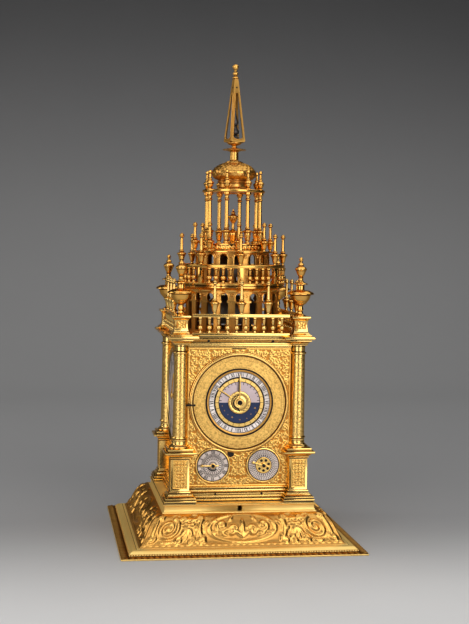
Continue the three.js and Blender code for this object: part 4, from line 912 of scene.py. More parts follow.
class CLOCK_OT_flange(Operator):
    """Foot flange with its leaf border and rising band"""

    bl_idname = "clock.flange"
    bl_label = "Foot flange"

    def execute(self, context):
        half, top = FLANGE_HALF, FLANGE_TOP
        run = mitred(outline(
            (74, 0), (half - 0.4, 0), (half, 0.5, 0.2), (half, 1.2), (half - 6.4, 1.5),
            (half - 6.4, 2.7), (half - 6.6, 2.8), (half - 12, 5.6, 0.13), (half - 12.6, 5.5),
            (half - 12.8, top - 0.2), (half - 13.4, top), (74, top)), closed=True)
        across = np.linspace(-1, 1, 7)[:, None]
        along = np.linspace(0, 1, 9)[None, :]
        swell = np.sin(np.pi * np.clip(0.22 + 0.77 * along, 0, 1)) ** 0.6
        rib = 0.5 + 0.5 * np.cos(np.pi * across) ** 2
        tall = swell * np.sqrt(np.clip(1 - across ** 2, 0, 1)) * rib
        grid = surface(2.2 * swell * across, -half + 0.2 + 5.9 * along, 1.35 + tall)
        points, faces = plate(grid, (0, 0, -0.5))
        cut = np.zeros(len(points))
        cut[:tall.size] = np.ravel(np.clip(1 - tall / 0.7, 0, 1))
        pearl = turned(outline((0, 2.2), (0.62, 2.6, 0.25), (0, 3.2, 0.4), parts=3), 7)
        rows = []
        for part, count, inset, line in (
            ((points, faces, cut), 40, 1.5, 0.0), (pearl, 88, 6.7, 6.7 - half),
        ):
            pitch = 2 * (half - inset) / count
            rows.append(row_of([part], count, (inset - half + pitch / 2, line, 0), (pitch, 0, 0)))
        # The band takes the lighter copy of the gilt: painted light.
        dress("flange_band", [run], "plain_gilt", "base_flange", bevel=0.15)
        # A dark strip under the leaf border: painted shade in the gaps between the leaves.
        shade_bed = mitred(outline((half - 6.3, 1.2), (half - 0.3, 1.0), (half - 0.3, 1.4),
                             (half - 6.3, 1.7)), closed=True)
        dress("flange_border", four_sides(*rows), "leaf_gilt", weld=False, crease=60)
        dress("flange_bed", [shade_bed], "dark_bed")
        return {"FINISHED"}


def spiral(x, y, size, start, handed, turns, width, height):
    """A rounded rib that winds in to a berry."""
    share = np.linspace(0, 1, int(4.2 * size * turns / DAB_STEP))
    angle = start + handed * 2 * np.pi * turns * share
    reach = size * (1 - share) ** 0.85
    berry = [(x, y, width * 1.25, height * 1.1)]
    return berry + [(x + r * math.cos(a), y + r * math.sin(a), width * (1.1 - 0.4 * s), height)
                    for r, a, s in zip(reach, angle, share)]


def stem(x0, y0, x1, y1, bow, width, height):
    """A rib from one place to another, bowed to its left."""
    long = math.hypot(x1 - x0, y1 - y0)
    across, up = (y0 - y1) / long * bow, (x1 - x0) / long * bow
    shares = np.linspace(0, 1, int(long / DAB_STEP))
    return [(x0 + (x1 - x0) * s + 4 * s * (1 - s) * across,
             y0 + (y1 - y0) * s + 4 * s * (1 - s) * up, width, height) for s in shares]


def skirt_ornament(width, height):
    """The chased ornament of one side of the skirt, over its width and the run of its slope."""
    m = height * 0.5
    dabs = oval_of(0, m, 25, 11.4, 1.3, 0.6) + leaf(0, m - 8, math.pi / 2, 0, 15, 2.0, 0.8)
    half = []
    for x, y, size, start, handed, turns, rib in (
        (7.4, -2.0, 3.9, 2.6, -1, 1.4, 1.15), (15.6, 1.6, 4.4, 3.7, 1, 1.5, 1.2),
        (33.0, 8.2, 3.1, -2.3, 1, 1.3, 1.15), (30.4, -8.4, 3.0, 2.2, 1, 1.3, 1.15),
        (47.0, 7.0, 2.4, 3.1, -1, 1.2, 1.0), (37.0, -8.8, 2.7, 1.4, 1, 1.3, 1.05),
        (45.6, -8.6, 2.8, 1.7, -1, 1.3, 1.05), (55.6, 0.0, 8.0, 1.9, 1, 1.85, 1.5),
        (65.4, 8.6, 2.6, 3.4, -1, 1.2, 1.1), (65.6, -7.6, 3.0, 2.4, 1, 1.2, 1.1)):
        half += spiral(x, m + y, size, start, handed, turns, rib, 0.85)
    for x, y, heading, bend, length, broad in (
        (0.8, -6.5, 1.05, -0.07, 10, 1.5), (11.2, -5.6, 0.15, 0.1, 7.5, 1.4),
        (18.8, -3.2, -0.3, 0.14, 4.6, 1.2), (10.6, 5.4, 2.5, -0.12, 5.5, 1.2),
        (20.2, 4.6, 0.5, -0.12, 3, 1.0), (30.6, -2.4, 0.25, 0.12, 6.0, 1.6),
        (29.6, 2.4, 2.3, 0.08, 4.6, 1.2), (41.0, 0.8, -math.pi / 2, 0.0, 10, 1.8),
        (39.8, 0.2, -2.2, 0.07, 7.4, 1.4), (42.2, 0.2, -0.95, -0.07, 7.4, 1.4),
        (49.8, 9.2, 0.55, -0.1, 7.5, 1.6), (50.4, -9.2, -0.45, 0.12, 7.5, 1.6),
        (62.4, 6.0, 1.25, -0.12, 6.5, 1.5), (62.8, -6.2, -1.1, 0.12, 6.0, 1.5),
        (36.6, 10.8, 0.1, 0.06, 8.0, 1.2), (66.4, -11, 1.72, -0.012, 23, 1.4)):
        half += leaf(x, m + y, heading, bend, length, broad, 0.75)
    half += stem(27.4, m - 9.5, 31.6, m + 7.0, -2.4, 1.5, 0.85)
    for y, reach in ((6.2, 4.6), (2.6, 3.8)):
        half += line_of(41 - reach, m + y, 41 + reach, m + y, 1.25, 0.85)
    for x in (38.4, 43.6):
        half += line_of(x, m + 2.6, x, m + 6.2, 1.0, 0.7)
    half = [(x, m - 0.4 + 1.1 * (y - m), radius, tall) for x, y, radius, tall in half]
    dabs += half + mirrored(half)
    lobes = int(width / 4.2)
    for k in range(lobes):
        x = -width / 2 + (k + 0.5) * width / lobes
        dabs += leaf(x - 1.6, 1.4, 0.5, -0.25, 3.6, 1.1, 0.45)
    return dabs


class CLOCK_OT_skirt(Operator):
    """Swelling skirt chased with straps, scrolls, leaves and an oval on each side"""

    bl_idname = "clock.skirt"
    bl_label = "Chased skirt"

    def execute(self, context):
        relief = context.scene.clock_sizes.relief / MM
        rise = SKIRT_TOP - FLANGE_TOP
        width, columns, rows, oval = 140.0, 312, 72, 28
        t = np.linspace(0, 1, rows)[:, None]
        handles = np.array([(80.5, 0), (73, 4.1), (73.5, rise), (61, rise)])
        curve = ((1 - t) ** 3 * handles[0] + 3 * t * (1 - t) ** 2 * handles[1]
                 + 3 * t * t * (1 - t) * handles[2] + t ** 3 * handles[3])
        run, slope, fade = course(curve, 1.2)
        across = np.linspace(-width / 2, width / 2, columns)
        share = across[:, None] / (width / 2)
        field = stamp(skirt_ornament(width, run[-1]), across, run)
        for axis in (0, 1) * 4:
            field = (np.roll(field, 1, axis) + 2 * field + np.roll(field, -1, axis)) / 4
        leafage = moresque(width - 3, run[-1] - 4, 6.6, 0.8, 1.0, 77, foot=2)
        leafed = stamp([dab for dab in leafage if abs(dab[0]) > oval], across, run)
        field = np.maximum(field, 0.07 * leafed)
        field *= np.clip((1 - np.abs(share)) / 0.02, 0, 1)
        lift = relief * field * fade
        outer = surface(
            share * curve[None, :, 0],
            -(curve[None, :, 0] + lift * slope[None, :, 1]),
            FLANGE_TOP + curve[None, :, 1] - lift * slope[None, :, 0],
        )
        inner_half = np.array([56, 56, 59, 68, 72, 77.0])
        inner_up = FLANGE_TOP + np.array([rise, rise - 2.4, rise - 3, rise - 8, 8, 0.0])
        inner = surface(share * inner_half, -inner_half, inner_up)
        side = np.concatenate([outer, inner], axis=1)[:-1]
        turns = [np.array(Matrix.Rotation(math.radians(angle), 3, "Z"))
                 for angle in (0, 90, 180, 270)]
        whole = np.concatenate([side @ turn.T for turn in turns])
        cut = np.zeros(side.shape[:2])
        cut[:, :len(run)] = 0.5 * np.clip(1 - field[:-1] / 0.3, 0, 1) * (1 - 0.8 * leafed[:-1])
        points, quads = sheet(whole, wrap_u=True, wrap_v=True)
        skirt = (points, quads, np.tile(cut, (4, 1)))
        dress("chased_skirt", [skirt], "chased_gilt", "base_skirt", weld=False, crease=70)
        return {"FINISHED"}


PEDESTAL = outline(
    (0, 0), (11.6, 0), (11.6, 0.9), (12.5, 1.0), (12.5, 2.3), (11.4, 2.4), (11.4, 3.2), (12.0, 3.3),
    (12.0, 4.2), (10.6, 4.3), (10.6, 5.1), (10.9, 5.2), (8.8, 7.0, -0.16), (8.6, 7.1), (7.8, 7.2),
    (7.8, 8.0), (8.3, 8.1), (8.1, 8.9), (7.5, 9.1), (7.2, 9.8), (7.2, 34.5), (7.8, 34.7),
    (8.2, 35.6, 0.2), (8.0, 35.7), (8.0, 36.5), (9.0, 36.6), (10.8, 38.2, -0.15), (10.9, 38.3),
    (12.2, 38.5), (12.2, 40), (9.6, 40.1), (9.6, 40.9), (9.9, 41), (9.9, 42.5), (0, 42.5))


class CLOCK_OT_plinth(Operator):
    """Plain plinth with its square keyhole"""

    bl_idname = "clock.plinth"
    bl_label = "Plinth"

    def execute(self, context):
        foot, rise = SKIRT_TOP, CASE_FLOOR - SKIRT_TOP
        run = shifted(mitred(outline(
            (55, 0), (61, 0), (60.4, 0.9, 0.15), (59.4, 3.0, -0.12), (59.4, 5.3), (60.3, 6.0, -0.2),
            (60.3, rise - 0.5), (59.4, rise - 0.4), (59.4, rise), (0, rise), (0, rise - 2.2),
            (55, rise - 2.2)), closed=True), z=foot)
        # The plinth takes the lighter copy of the gilt: painted light.
        plinth = build("plinth_fascia", [run], "plain_gilt", bevel=0.18)
        key = build("keyhole_cutter", [block((-1.8, -70, foot + 0.8), (1.8, -50, foot + 5.4))])
        opening = plinth.modifiers.new("Keyhole", "BOOLEAN")
        opening.object = key
        opening.solver = "EXACT"
        settle(plinth)
        bpy.data.objects.remove(key)
        show(plinth, "gilt", "plinth")
        return {"FINISHED"}


class CLOCK_OT_pedestals(Operator):
    """Four corner pedestals with engraved dies"""

    bl_idname = "clock.pedestals"
    bl_label = "Corner pedestals"

    def execute(self, context):
        depth, edge = context.scene.clock_sizes.engraving / MM, context.scene.clock_sizes.edge / MM
        body = mitred(PEDESTAL)
        width, height = 11.6, 22.4
        dabs = moresque(width - 1.8, height - 2.4, 2.45, 0.27, depth, 3, foot=1.2)
        dabs += border(width / 2 - 0.5, 0.5, height - 0.5, 0.36, depth * 1.4)
        panel = shifted(engraved(width, height, 0.2, dabs, depth), 0, -7.35, 11.0)
        # A black strip in the recess under each pedestal's foot: a painted shadow line.
        shadow_line = block((-11.9, -11.9, 0), (11.9, 11.9, 0.8))
        for corner, (x, y) in CORNERS.items():
            place = (x * CORNER, y * CORNER, CASE_FLOOR)
            dress(f"pedestal_turned_{corner}", [shifted(body, *place)], "bright_gilt",
                  f"pedestal_{corner}", bevel=edge)
            dress(f"pedestal_quirk_{corner}", [shifted(shadow_line, *place)], "black_wax")
            faces = (0 if y < 0 else 180, 90 if x > 0 else -90)
            dies = [shifted(spun(panel, turn), *place) for turn in faces]
            dress(f"pedestal_die_{corner}", dies, "engraved_gilt", weld=False, crease=70)
        return {"FINISHED"}


class CLOCK_OT_columns(Operator):
    """Four round columns engraved with curling stems"""

    bl_idname = "clock.columns"
    bl_label = "Columns"

    def execute(self, context):
        depth = context.scene.clock_sizes.engraving / MM * 0.35
        rise = CORNICE_FOOT - COLUMN_FOOT
        foot = outline(
            (0, 0), (7.8, 0), (7.8, 1.5, 0.35), (7.1, 1.8), (7.1, 2.3), (5.9, 4.6, -0.2),
            (5.7, 5.0), (5.7, 7.3), (6.3, 8.5, 0.4), (5.75, 8.7), (5.6, 9.2, -0.1), (5.6, 9.4),
            (0, 9.4))
        head = outline(
            (0, rise - 7.4), (5.15, rise - 7.4), (5.4, rise - 7.0), (6.1, rise - 6.2, 0.3),
            (5.4, rise - 5.4, 0.3), (5.05, rise - 5.2), (5.05, rise - 0.7), (5.6, rise - 0.5),
            (5.6, rise), (0, rise))
        shaft_foot, head_rise, foot_radius, head_radius = 9.2, 7.4, 5.6, 5.1
        around, span = math.pi * (foot_radius + head_radius), rise - shaft_foot - head_rise
        across = np.linspace(-around / 2, around / 2, 120, endpoint=False)
        up = np.linspace(0, span, 240)
        dabs = moresque(around, span, 3.6, 0.34, depth, 11)
        dabs += [(x + around, *rest) for x, *rest in dabs if x < -around / 2 + 2]
        dabs += [(x - around, *rest) for x, *rest in dabs if x > around / 2 - 2]
        field = stamp(dabs, across, up)
        swell = np.interp(up, [0, span], [foot_radius, head_radius])
        radius = swell - depth + field
        angle = across[:, None] / around * 2 * np.pi - np.pi / 2
        grid = surface(radius * np.cos(angle), radius * np.sin(angle), shaft_foot + up)
        grid = np.concatenate([grid[:, :1] * (0, 0, 1), grid, grid[:, -1:] * (0, 0, 1)], axis=1)
        points, quads = sheet(grid, wrap_u=True)
        cut = np.zeros(grid.shape[:2])
        cut[:, 1:-1] = 0.32 * (1 - np.clip(field / (0.75 * depth), 0, 1))
        shaft = (points, quads, cut)
        for corner, (x, y) in CORNERS.items():
            place = (x * CORNER, y * CORNER, COLUMN_FOOT)
            mouldings = [shifted(turned(part, 80), *place) for part in (foot, head)]
            dress(f"column_mouldings_{corner}", mouldings, "bright_gilt", f"column_{corner}")
            dress(f"column_shaft_{corner}", [shifted(shaft, *place)], "column_gilt", crease=75)
        return {"FINISHED"}


class CLOCK_OT_panels(Operator):
    """Four engraved case panels with their sills and heads"""

    bl_idname = "clock.panels"
    bl_label = "Case panels"

    def execute(self, context):
        depth, edge = context.scene.clock_sizes.engraving / MM, context.scene.clock_sizes.edge / MM
        foot, top = CASE_FLOOR, CORNICE_FOOT
        half, sill_top, head_foot = 41.3, foot + SILL_RISE, top - 2.6
        height = head_foot - sill_top
        sill = outline(
            (0, 0), (7.1, 0), (7.1, 0.9), (8, 1.0), (8, 2.3), (6.9, 2.4), (6.9, 3.3), (7.4, 3.4),
            (6.5, 4.8, -0.2), (6.2, 5.0), (6.2, 6.3), (5.1, 6.4), (5.1, 7.2), (5.5, 7.3),
            (3.9, 8.8, -0.18), (3.5, 8.9), (2.7, 9.0), (2.7, 9.8), (3.3, 9.9), (3.2, 10.8),
            (2.3, 11), (0, 11))
        head = outline(
            (0, 120.9), (2.8, 120.9), (3.3, 121.4, 0.2), (3.3, 122.0), (4.2, 122.3), (4.2, 123.5),
            (0, 123.5))

        def sill_reach(up):
            return CORNER - np.interp(up, PEDESTAL[1:-1, 1], PEDESTAL[1:-1, 0]) - 0.5

        mouldings = [run_of(sill, sill_reach, foot), run_of(head, lambda up: half - 0.2, foot)]
        front = -FACE + 0.25
        mouldings += [block((-34.1, front, foot), (34.1, -PANEL_BACK, foot + 36)),
                      block((-39.4, front, foot + 10.3), (39.4, -PANEL_BACK, foot + 34)),
                      block((-38.8, front, foot + 34), (38.8, -PANEL_BACK, top))]
        # The long black bar at the foot of the sill is a painted shadow line; the two discs are
        # pins.
        pins = [block((-34.2, -PANEL_BACK - 7.4, foot), (34.2, -PANEL_BACK - 6, foot + 0.8))]
        pins += [moved(disc(0.9, 0, 0.3), facing_front(x, -PANEL_BACK - 6.2, foot + 5.6))
                 for x in (-18.5, 18.5)]
        for number, (side, turn) in enumerate(SIDES.items()):
            dabs = moresque(2 * half - 3, height - 3, 5.8, 0.5, depth, 20 + number, foot=1.5)
            dabs += border(half - 0.9, 0.8, height - 0.8, 0.5, depth)
            spacing = 0.34 if side in ("front", "left") else 0.4
            engraving = shifted(engraved(2 * half, height, spacing, dabs, depth), 0, -FACE,
                                sill_top)
            around = about_z(turn)
            dress(f"{side}_panel_mouldings", mouldings, "soft_gilt", f"{side}_panel", at=around,
                  bevel=edge)
            dress(f"{side}_panel_engraving", [engraving], "engraved_gilt", at=around, weld=False,
                  crease=75)
            dress(f"{side}_panel_pins", pins, "black_wax", at=around)
        return {"FINISHED"}


class CLOCK_OT_cornice(Operator):
    """Cornice broken forward over the columns, its deck and kerbs"""

    bl_idname = "clock.cornice"
    bl_label = "Cornice"

    def execute(self, context):
        edge = context.scene.clock_sizes.edge / MM
        foot, deck = CORNICE_FOOT, DECK
        rise = deck - foot
        run = shifted(mitred(outline(
            (43, 0), (48.3, 0), (48.3, 1.5), (47.2, 1.6), (47.2, 2.5), (49.2, 2.6),
            (50.0, 3.3, -0.16), (50.2, 3.4), (50.2, 3.8), (51.0, 4.0), (51.5, 4.5, 0.2),
            (51.5, 4.8), (49.6, 4.9), (49.6, rise), (43, rise)), closed=True), z=foot)
        capital = shifted(mitred(outline(
            (0, 0), (5.8, 0), (5.8, 0.7), (6.1, 0.9), (8.4, 3.0, -0.16), (8.7, 3.2), (8.7, 4.0),
            (8.1, 4.2), (8.1, rise - 1), (0, rise - 1))), z=foot)
        dress("cornice_run", [run], "soft_gilt", "cornice", bevel=edge * 0.5)
        gap_low, gap_high = low("bell_hammer", X) - 6, high("bell_hammer", X) + 4
        under = deck - 2.3
        plates = [block((left, near, under), (right, far, deck)) for left, near, right, far in (
            (-43.5, -43.5, 43.5, -9), (-43.5, 9, 43.5, 43.5), (-43.5, -9, gap_low, 9),
            (gap_high, -9, 43.5, 9))]
        breaks = [shifted(capital, x * CORNER, y * CORNER) for x, y in CORNERS.values()]
        reach, inner = high("cornice", X), 34.0
        for x, y in CORNERS.values():
            near, far = sorted((x * inner, x * reach))
            front, back = sorted((y * 46.0, y * reach))
            breaks += [block((near, front, under + 0.5), (far, back, deck - 0.5)),
                       block((near + 0.5, front + 0.5, under), (far - 0.5, back - 0.5, deck))]
        for x in (-1, 1):
            near, far = sorted((x * 47.0, x * reach))
            breaks += [block((near, -46.0, under + 0.5), (far, 46.0, deck - 0.5))]
        # Black strips under the capitals and along the rails: painted shadow lines.
        shadow_lines = [block((x * CORNER - 8.6, y * CORNER - 8.6, under - 0.4),
                        (x * CORNER + 8.6, y * CORNER + 8.6, under + 0.2))
                  for x, y in CORNERS.values()]
        shadow_lines += four_sides(block((-RAIL_HALF, -51.3, deck - 1.0), (RAIL_HALF, -48.7, deck - 0.2)))
        dress("cornice_quirks", shadow_lines, "black_wax")
        breaks += four_sides(block((-RAIL_HALF, -51.7, deck - 0.2),
                                   (RAIL_HALF, -48.7, deck + KERB)))
        dress("cornice_breaks", breaks, "bright_gilt", bevel=edge)
        dress("cornice_deck", plates, "aged_gilt")
        pins = [moved(disc(1.05, 0, 0.7), facing_front(x, -49.6, foot + 3.0))
                for x in (-25.5, 25.5)]
        dress("cornice_pins", pins, "black_wax")
        return {"FINISHED"}


RAIL_FINIAL = (
    (0, 0), (1.5, 0), (1.2, 1.2, -0.1), (2.2, 4.2, 0.06), (3.5, 8.0, -0.06), (3.9, 8.6, 0.2),
    (3.5, 9.2, 0.2), (1.7, 10.2), (1.6, 10.6), (2.3, 11.1, 0.3), (1.5, 11.8), (1.25, 12.4),
    (1.1, 22.6), (1.3, 23.0), (1.6, 24.6, 0.4), (1.0, 25.9, 0.3), (0, 26.6, 0.2))
BALUSTER = (
    (0, 0), (1.7, 0), (1.6, 0.7, 0.2), (1.1, 1.8, -0.1), (0.75, 2.3), (0.95, 2.6),
    (2.05, 4.3, 0.25), (1.0, 6.1, 0.25), (0.75, 6.5), (0.95, 6.9), (1.4, 11.2), (1.75, 11.5),
    (1.75, 12.5), (0, 12.5))


def stretched(steps, rise):
    """The steps of an outline, stretched upwards to a height."""
    stretch = rise / steps[-1][1]
    return [(radius, up * stretch, *bulge) for radius, up, *bulge in steps]


def finial(rise):
    """A turned pin finial of a height."""
    return turned(outline(*stretched(RAIL_FINIAL, rise), parts=4), 20)


def baluster(rise):
    """A turned baluster of a height."""
    return turned(outline(*stretched(BALUSTER, rise), parts=4), 14)


class CLOCK_OT_upper_pedestals(Operator):
    """Four small pedestals with their turned urns"""

    bl_idname = "clock.upper_pedestals"
    bl_label = "Upper pedestals and urns"

    def execute(self, context):
        depth, edge = context.scene.clock_sizes.engraving / MM, context.scene.clock_sizes.edge / MM
        rise = URN_FOOT - DECK
        body = mitred(outline(
            (0, 0), (7.7, 0), (7.7, 0.4), (8.3, 0.5), (8.3, 1.2), (7.7, 1.4), (7.3, 1.7),
            (5.3, 5.4, -0.12), (4.9, 8.6, -0.03), (5.1, 11.0, -0.03), (6.9, 14.0, -0.12),
            (7.3, 14.2), (7.3, rise), (0, rise)))
        dabs = [(1.9 * math.sin(t), 3.6 + 1.9 * math.cos(t), 0.95, depth)
                for t in np.radians(range(0, 360, 60))]
        dabs.append((0, 3.6, 0.8, depth * 1.5))
        for sign in (-1, 1):
            dabs += leaf(2.6 * sign, 0.6, math.pi / 2 + 0.4 * sign, -0.12 * sign, 3.0, 0.6, depth)
            dabs += leaf(2.6 * sign, 6.6, -math.pi / 2 - 0.4 * sign, 0.12 * sign, 3.0, 0.6, depth)
        flower = shifted(engraved(7.6, 7.2, 0.22, dabs, depth), 0, -5.15, 5.0)
        urn = turned(outline(
            (0, 0), (4.6, 0), (4.6, 0.8, 0.2), (3.2, 1.5, -0.1), (2.2, 3.0, -0.15), (2.0, 4.0),
            (2.5, 5.6, 0.1), (2.1, 7.4), (2.2, 8.6), (3.0, 9.2, 0.2), (5.4, 11.4, 0.1),
            (7.3, 14.2, 0.08), (8.2, 17.0), (10.4, 17.4, 0.05), (10.7, 17.9, 0.3), (9.5, 19.2, 0.1),
            (8.0, 19.9), (4.4, 20.5, 0.1), (3.1, 21.0, -0.2), (3.0, 24.6), (3.3, 25.0), (5.5, 25.2),
            (5.5, 25.9, 0.2), (3.6, 26.6), (2.5, 27.6, -0.15), (1.9, 28.4), (1.8, 30.5),
            (2.3, 31.0), (1.8, 31.4), (3.0, 33.4, 0.05), (4.1, 36.2), (4.5, 37.0, 0.2),
            (4.3, 38.0, 0.2), (2.6, 39.2, 0.1), (1.8, 40.2), (2.5, 41.0, 0.3), (1.6, 41.8),
            (1.2, 42.4), (1.2, 43.8), (1.5, 45.0, 0.3), (0.9, 46.2, 0.2), (0, URN_TOP - URN_FOOT),
            parts=5), 56)
        for corner, (x, y) in CORNERS.items():
            place = (x * UPPER_CORNER, y * UPPER_CORNER)
            dress(f"upper_pedestal_turned_{corner}", [shifted(body, *place, DECK)], "bright_gilt",
                  f"upper_pedestal_{corner}", bevel=edge)
            dies = [shifted(spun(flower, turn), *place, DECK) for turn in SIDES.values()]
            dress(f"upper_pedestal_flower_{corner}", dies, "engraved_gilt", weld=False, crease=70)
            # The urns take the darker copy of the gilt: painted shade.
            dress(f"urn_turned_{corner}", [shifted(urn, *place, URN_FOOT)], "warm_gilt",
                  f"urn_{corner}")
        return {"FINISHED"}


class CLOCK_OT_balustrades(Operator):
    """Square balustrades with balusters and finials"""

    bl_idname = "clock.balustrades"
    bl_label = "Square balustrades"

    def execute(self, context):
        edge = context.scene.clock_sizes.edge / MM
        foot, under, top, line = DECK + KERB, DECK + 14.7, DECK + 17.2, -50.2
        balusters = row_of([baluster(under - foot)], 10, (-32.4, line, foot), (7.2, 0, 0))
        finials = row_of([finial(26.6)], 3, (-21.3, line, top), (21.3, 0, 0))
        rails = [block((-RAIL_HALF, line - half, bottom), (RAIL_HALF, line + half, upper))
                 for half, bottom, upper in ((1.5, under, top - 0.7), (1.1, top - 0.8, top),
                                             (1.25, foot - 0.3, foot + 0.25))]
        for side, turn in SIDES.items():
            around = about_z(turn)
            dress(f"balustrade_rails_{side}", rails, "bright_gilt", f"balustrade_{side}", at=around,
                  bevel=edge)
            dress(f"balustrade_turnings_{side}", (balusters, finials), "bright_gilt", at=around,
                  weld=False)
        return {"FINISHED"}


def arch_bay(radius, wall, rise, count, half_width, sill, crown, pinch=0.0):
    """One bay of an arcaded drum, bent to its round: its wall, and the raised trim of its arch."""
    centre = rise - crown - half_width
    spring = centre - (SPRING_DROP if pinch else 0.0)
    right = [(half_width, sill), (half_width, (sill + spring) / 2)]
    if pinch:
        neck = half_width - pinch
        right += [(half_width, spring), (neck, spring + 0.3), (neck, spring + 1.5),
                  (half_width, spring + 1.9)]
    arch = [(half_width * math.cos(t), centre + half_width * math.sin(t))
            for t in np.linspace(0, np.pi, 15)]
    left = [(-x, z) for x, z in right[::-1]]
    bottom = [(x * half_width, sill) for x in (-0.5, 0.0, 0.5)]
    hole = np.array(right + arch + left + bottom)
    bay = math.pi * radius / count
    heart = np.array((0.0, rise * 0.55))
    way = hole - heart
    if pinch:
        necked = (hole[:, 1] > spring) & (hole[:, 1] < spring + 1.8)
        way[necked, 0] = np.sign(way[necked, 0]) * half_width
    room = np.where(way[:, 1] > 0, rise - heart[1], heart[1])
    reach = np.minimum(bay / np.maximum(np.abs(way[:, 0]), 1e-6),
                       room / np.maximum(np.abs(way[:, 1]), 1e-6))
    rim = heart + way * reach[:, None]
    for level in (0, rise):
        near = hole[np.argmin(np.hypot(*(rim - (bay, level)).T))].copy()
        for side in (1, -1):
            rim[np.argmin(np.hypot(*(hole - near * (side, 1)).T))] = side * bay, level

    def bent(places, depth):
        angle = places[:, 0] / radius
        out = radius - depth
        return np.column_stack([out * np.sin(angle), -out * np.cos(angle), places[:, 1]])

    between = (hole + rim) / 2
    loops = [bent(rim, wall), bent(between, wall), bent(hole, wall)]
    loops += [bent(hole, 0), bent(between, 0), bent(rim, 0)]
    points, quads = sheet(np.array(loops), wrap_v=True)
    faces = quads.tolist()
    last = 5 * len(hole)
    for k in range(len(hole)):
        following = (k + 1) % len(hole)
        level = rim[k, 1], rim[following, 1]
        if level[0] == level[1] and level[0] in (0, rise):
            faces.append([last + k, last + following, following, k])
    trim = [tube(bent(np.array(right[-1:] + arch + left[:1]), -0.05), 0.45, 6)]
    outer = np.array([(x * 1.34, centre + (z - centre) * 1.34) for x, z in arch])
    trim.append(tube(bent(np.clip(outer, (-bay + 0.2, 0), (bay - 0.2, rise - 0.2)), 0.0), 0.25, 5))
    bud = turned(outline((0, 0), (0.75, 0), (0.6, 0.35, 0.3), (0, 0.5, 0.2), parts=2), 7)
    upper = centre + half_width * 0.75
    for x, z, size in ((bay, centre + half_width * 0.2, 1.3), (bay - 0.8, upper, 0.9),
                       (bay + 0.8, upper, 0.9)):
        around = Matrix.Rotation(x / radius, 4, "Z") @ facing_front(0, -radius + 0.1, z)
        trim.append(moved(bud, around @ Matrix.Scale(size, 4)))
    # The drum's inner face and the arch reveals are darkened: painted shade inside the drum.
    cut = np.repeat((1.0, 1.0, 0.9, 0.25, 0.0, 0.0), len(hole))
    return [(points, faces, cut)], trim


class CLOCK_OT_arcades(Operator):
    """Lower and upper arcaded drums"""

    bl_idname = "clock.arcades"
    bl_label = "Arcaded drums"

    def execute(self, context):
        for name, foot, top, radius, wall, count, half, sill, crown, pinch in (
            ("lower_arcade", DECK, GALLERY, 38.0, 2.2, 20, 3.2, 3.0, 1.2, 1.1),
            ("upper_arcade", GALLERY_DECK, PODIUM_FOOT, 30.0, 2.0, 16, 3.5, 2.0, 0.9, 0.0),
        ):
            bay, trim = arch_bay(radius, wall, top - foot, count, half, sill, crown, pinch)
            drum = shifted(ring_of(bay, count), z=foot)
            trims = [shifted(ring_of(trim, count), z=foot)]
            if pinch:
                spring = top - foot - crown - half - SPRING_DROP
                reach = math.pi * radius / count - half + pinch
                cap = block((-reach, -radius - 0.4, spring + 0.2),
                            (reach, -radius + wall - 0.1, spring + 1.6))
                trims.append(shifted(ring_of([cap], count, first=180 / count), z=foot))
            band = shifted(turned(outline(
                (radius - 1, 0), (radius + 0.5, 0), (radius + 0.5, 1.2), (radius + 0.1, 1.7, -0.2),
                (radius - 1, 1.7)), 160, closed=True), z=foot)
            dress(f"{name}_drum", [drum], "shaded_gilt", name, crease=32)
            dress(f"{name}_mouldings", [*trims, band], "chased_gilt", crease=45)
        return {"FINISHED"}


class CLOCK_OT_gallery(Operator):
    """Round gallery: floor moulding, rails, posts, balusters and finials"""

    bl_idname = "clock.gallery"
    bl_label = "Round gallery"

    def execute(self, context):
        foot, deck = GALLERY, GALLERY_DECK
        rise = deck - foot
        floor = shifted(turned(outline(
            (25, 0), (38.8, 0), (39.0, 0.6), (39.6, 1.3, -0.2), (40.2, 1.5), (42.6, 2.6, -0.14),
            (43.2, 2.8), (43.2, 3.8), (42.5, 3.95), (42.5, 4.5), (43.2, 4.65), (43.2, 5.9),
            (42.9, 6.5, 0.2), (41.2, 6.6), (41, 6.4), (41, rise), (25, rise)), 160, closed=True),
            z=foot)
        # The gallery takes the darker copy of the gilt: painted shade of the upper storey.
        dress("gallery_floor_moulding", [floor], "warm_gilt", "gallery_floor", crease=30)
        line, under, top = 42.1, deck + 13.5, deck + 16.2
        rail = turned(outline(
            (41, under), (43.0, under), (43.2, under + 0.3), (43.2, under + 1.6),
            (42.8, top - 0.3, 0.2), (42.6, top), (41.6, top), (41, top - 0.5)), 160, closed=True)
        post = block((-2.2, -1.15, deck + 1.5), (2.2, 1.15, under + 0.2))
        face = block((-1.4, -1.45, deck + 4), (1.4, -1.0, under - 2.2))
        parts = [rail, ring_of([post, face], 8, line)]
        turning = shifted(baluster(under - deck - 1.5), z=deck + 1.6)
        turnings = [ring_of([turning], 8, line, (k + 0.35) / 5.7 * 45) for k in range(1, 5)]
        pins = shifted(ring_of([finial(high("gallery_balustrade", Z) - top)], 8, line), z=top)
        dress("gallery_rail", parts, "warm_gilt", "gallery_balustrade", bevel=0.12)
        dress("gallery_turnings", [*turnings, pins], "warm_gilt", weld=False)
        return {"FINISHED"}


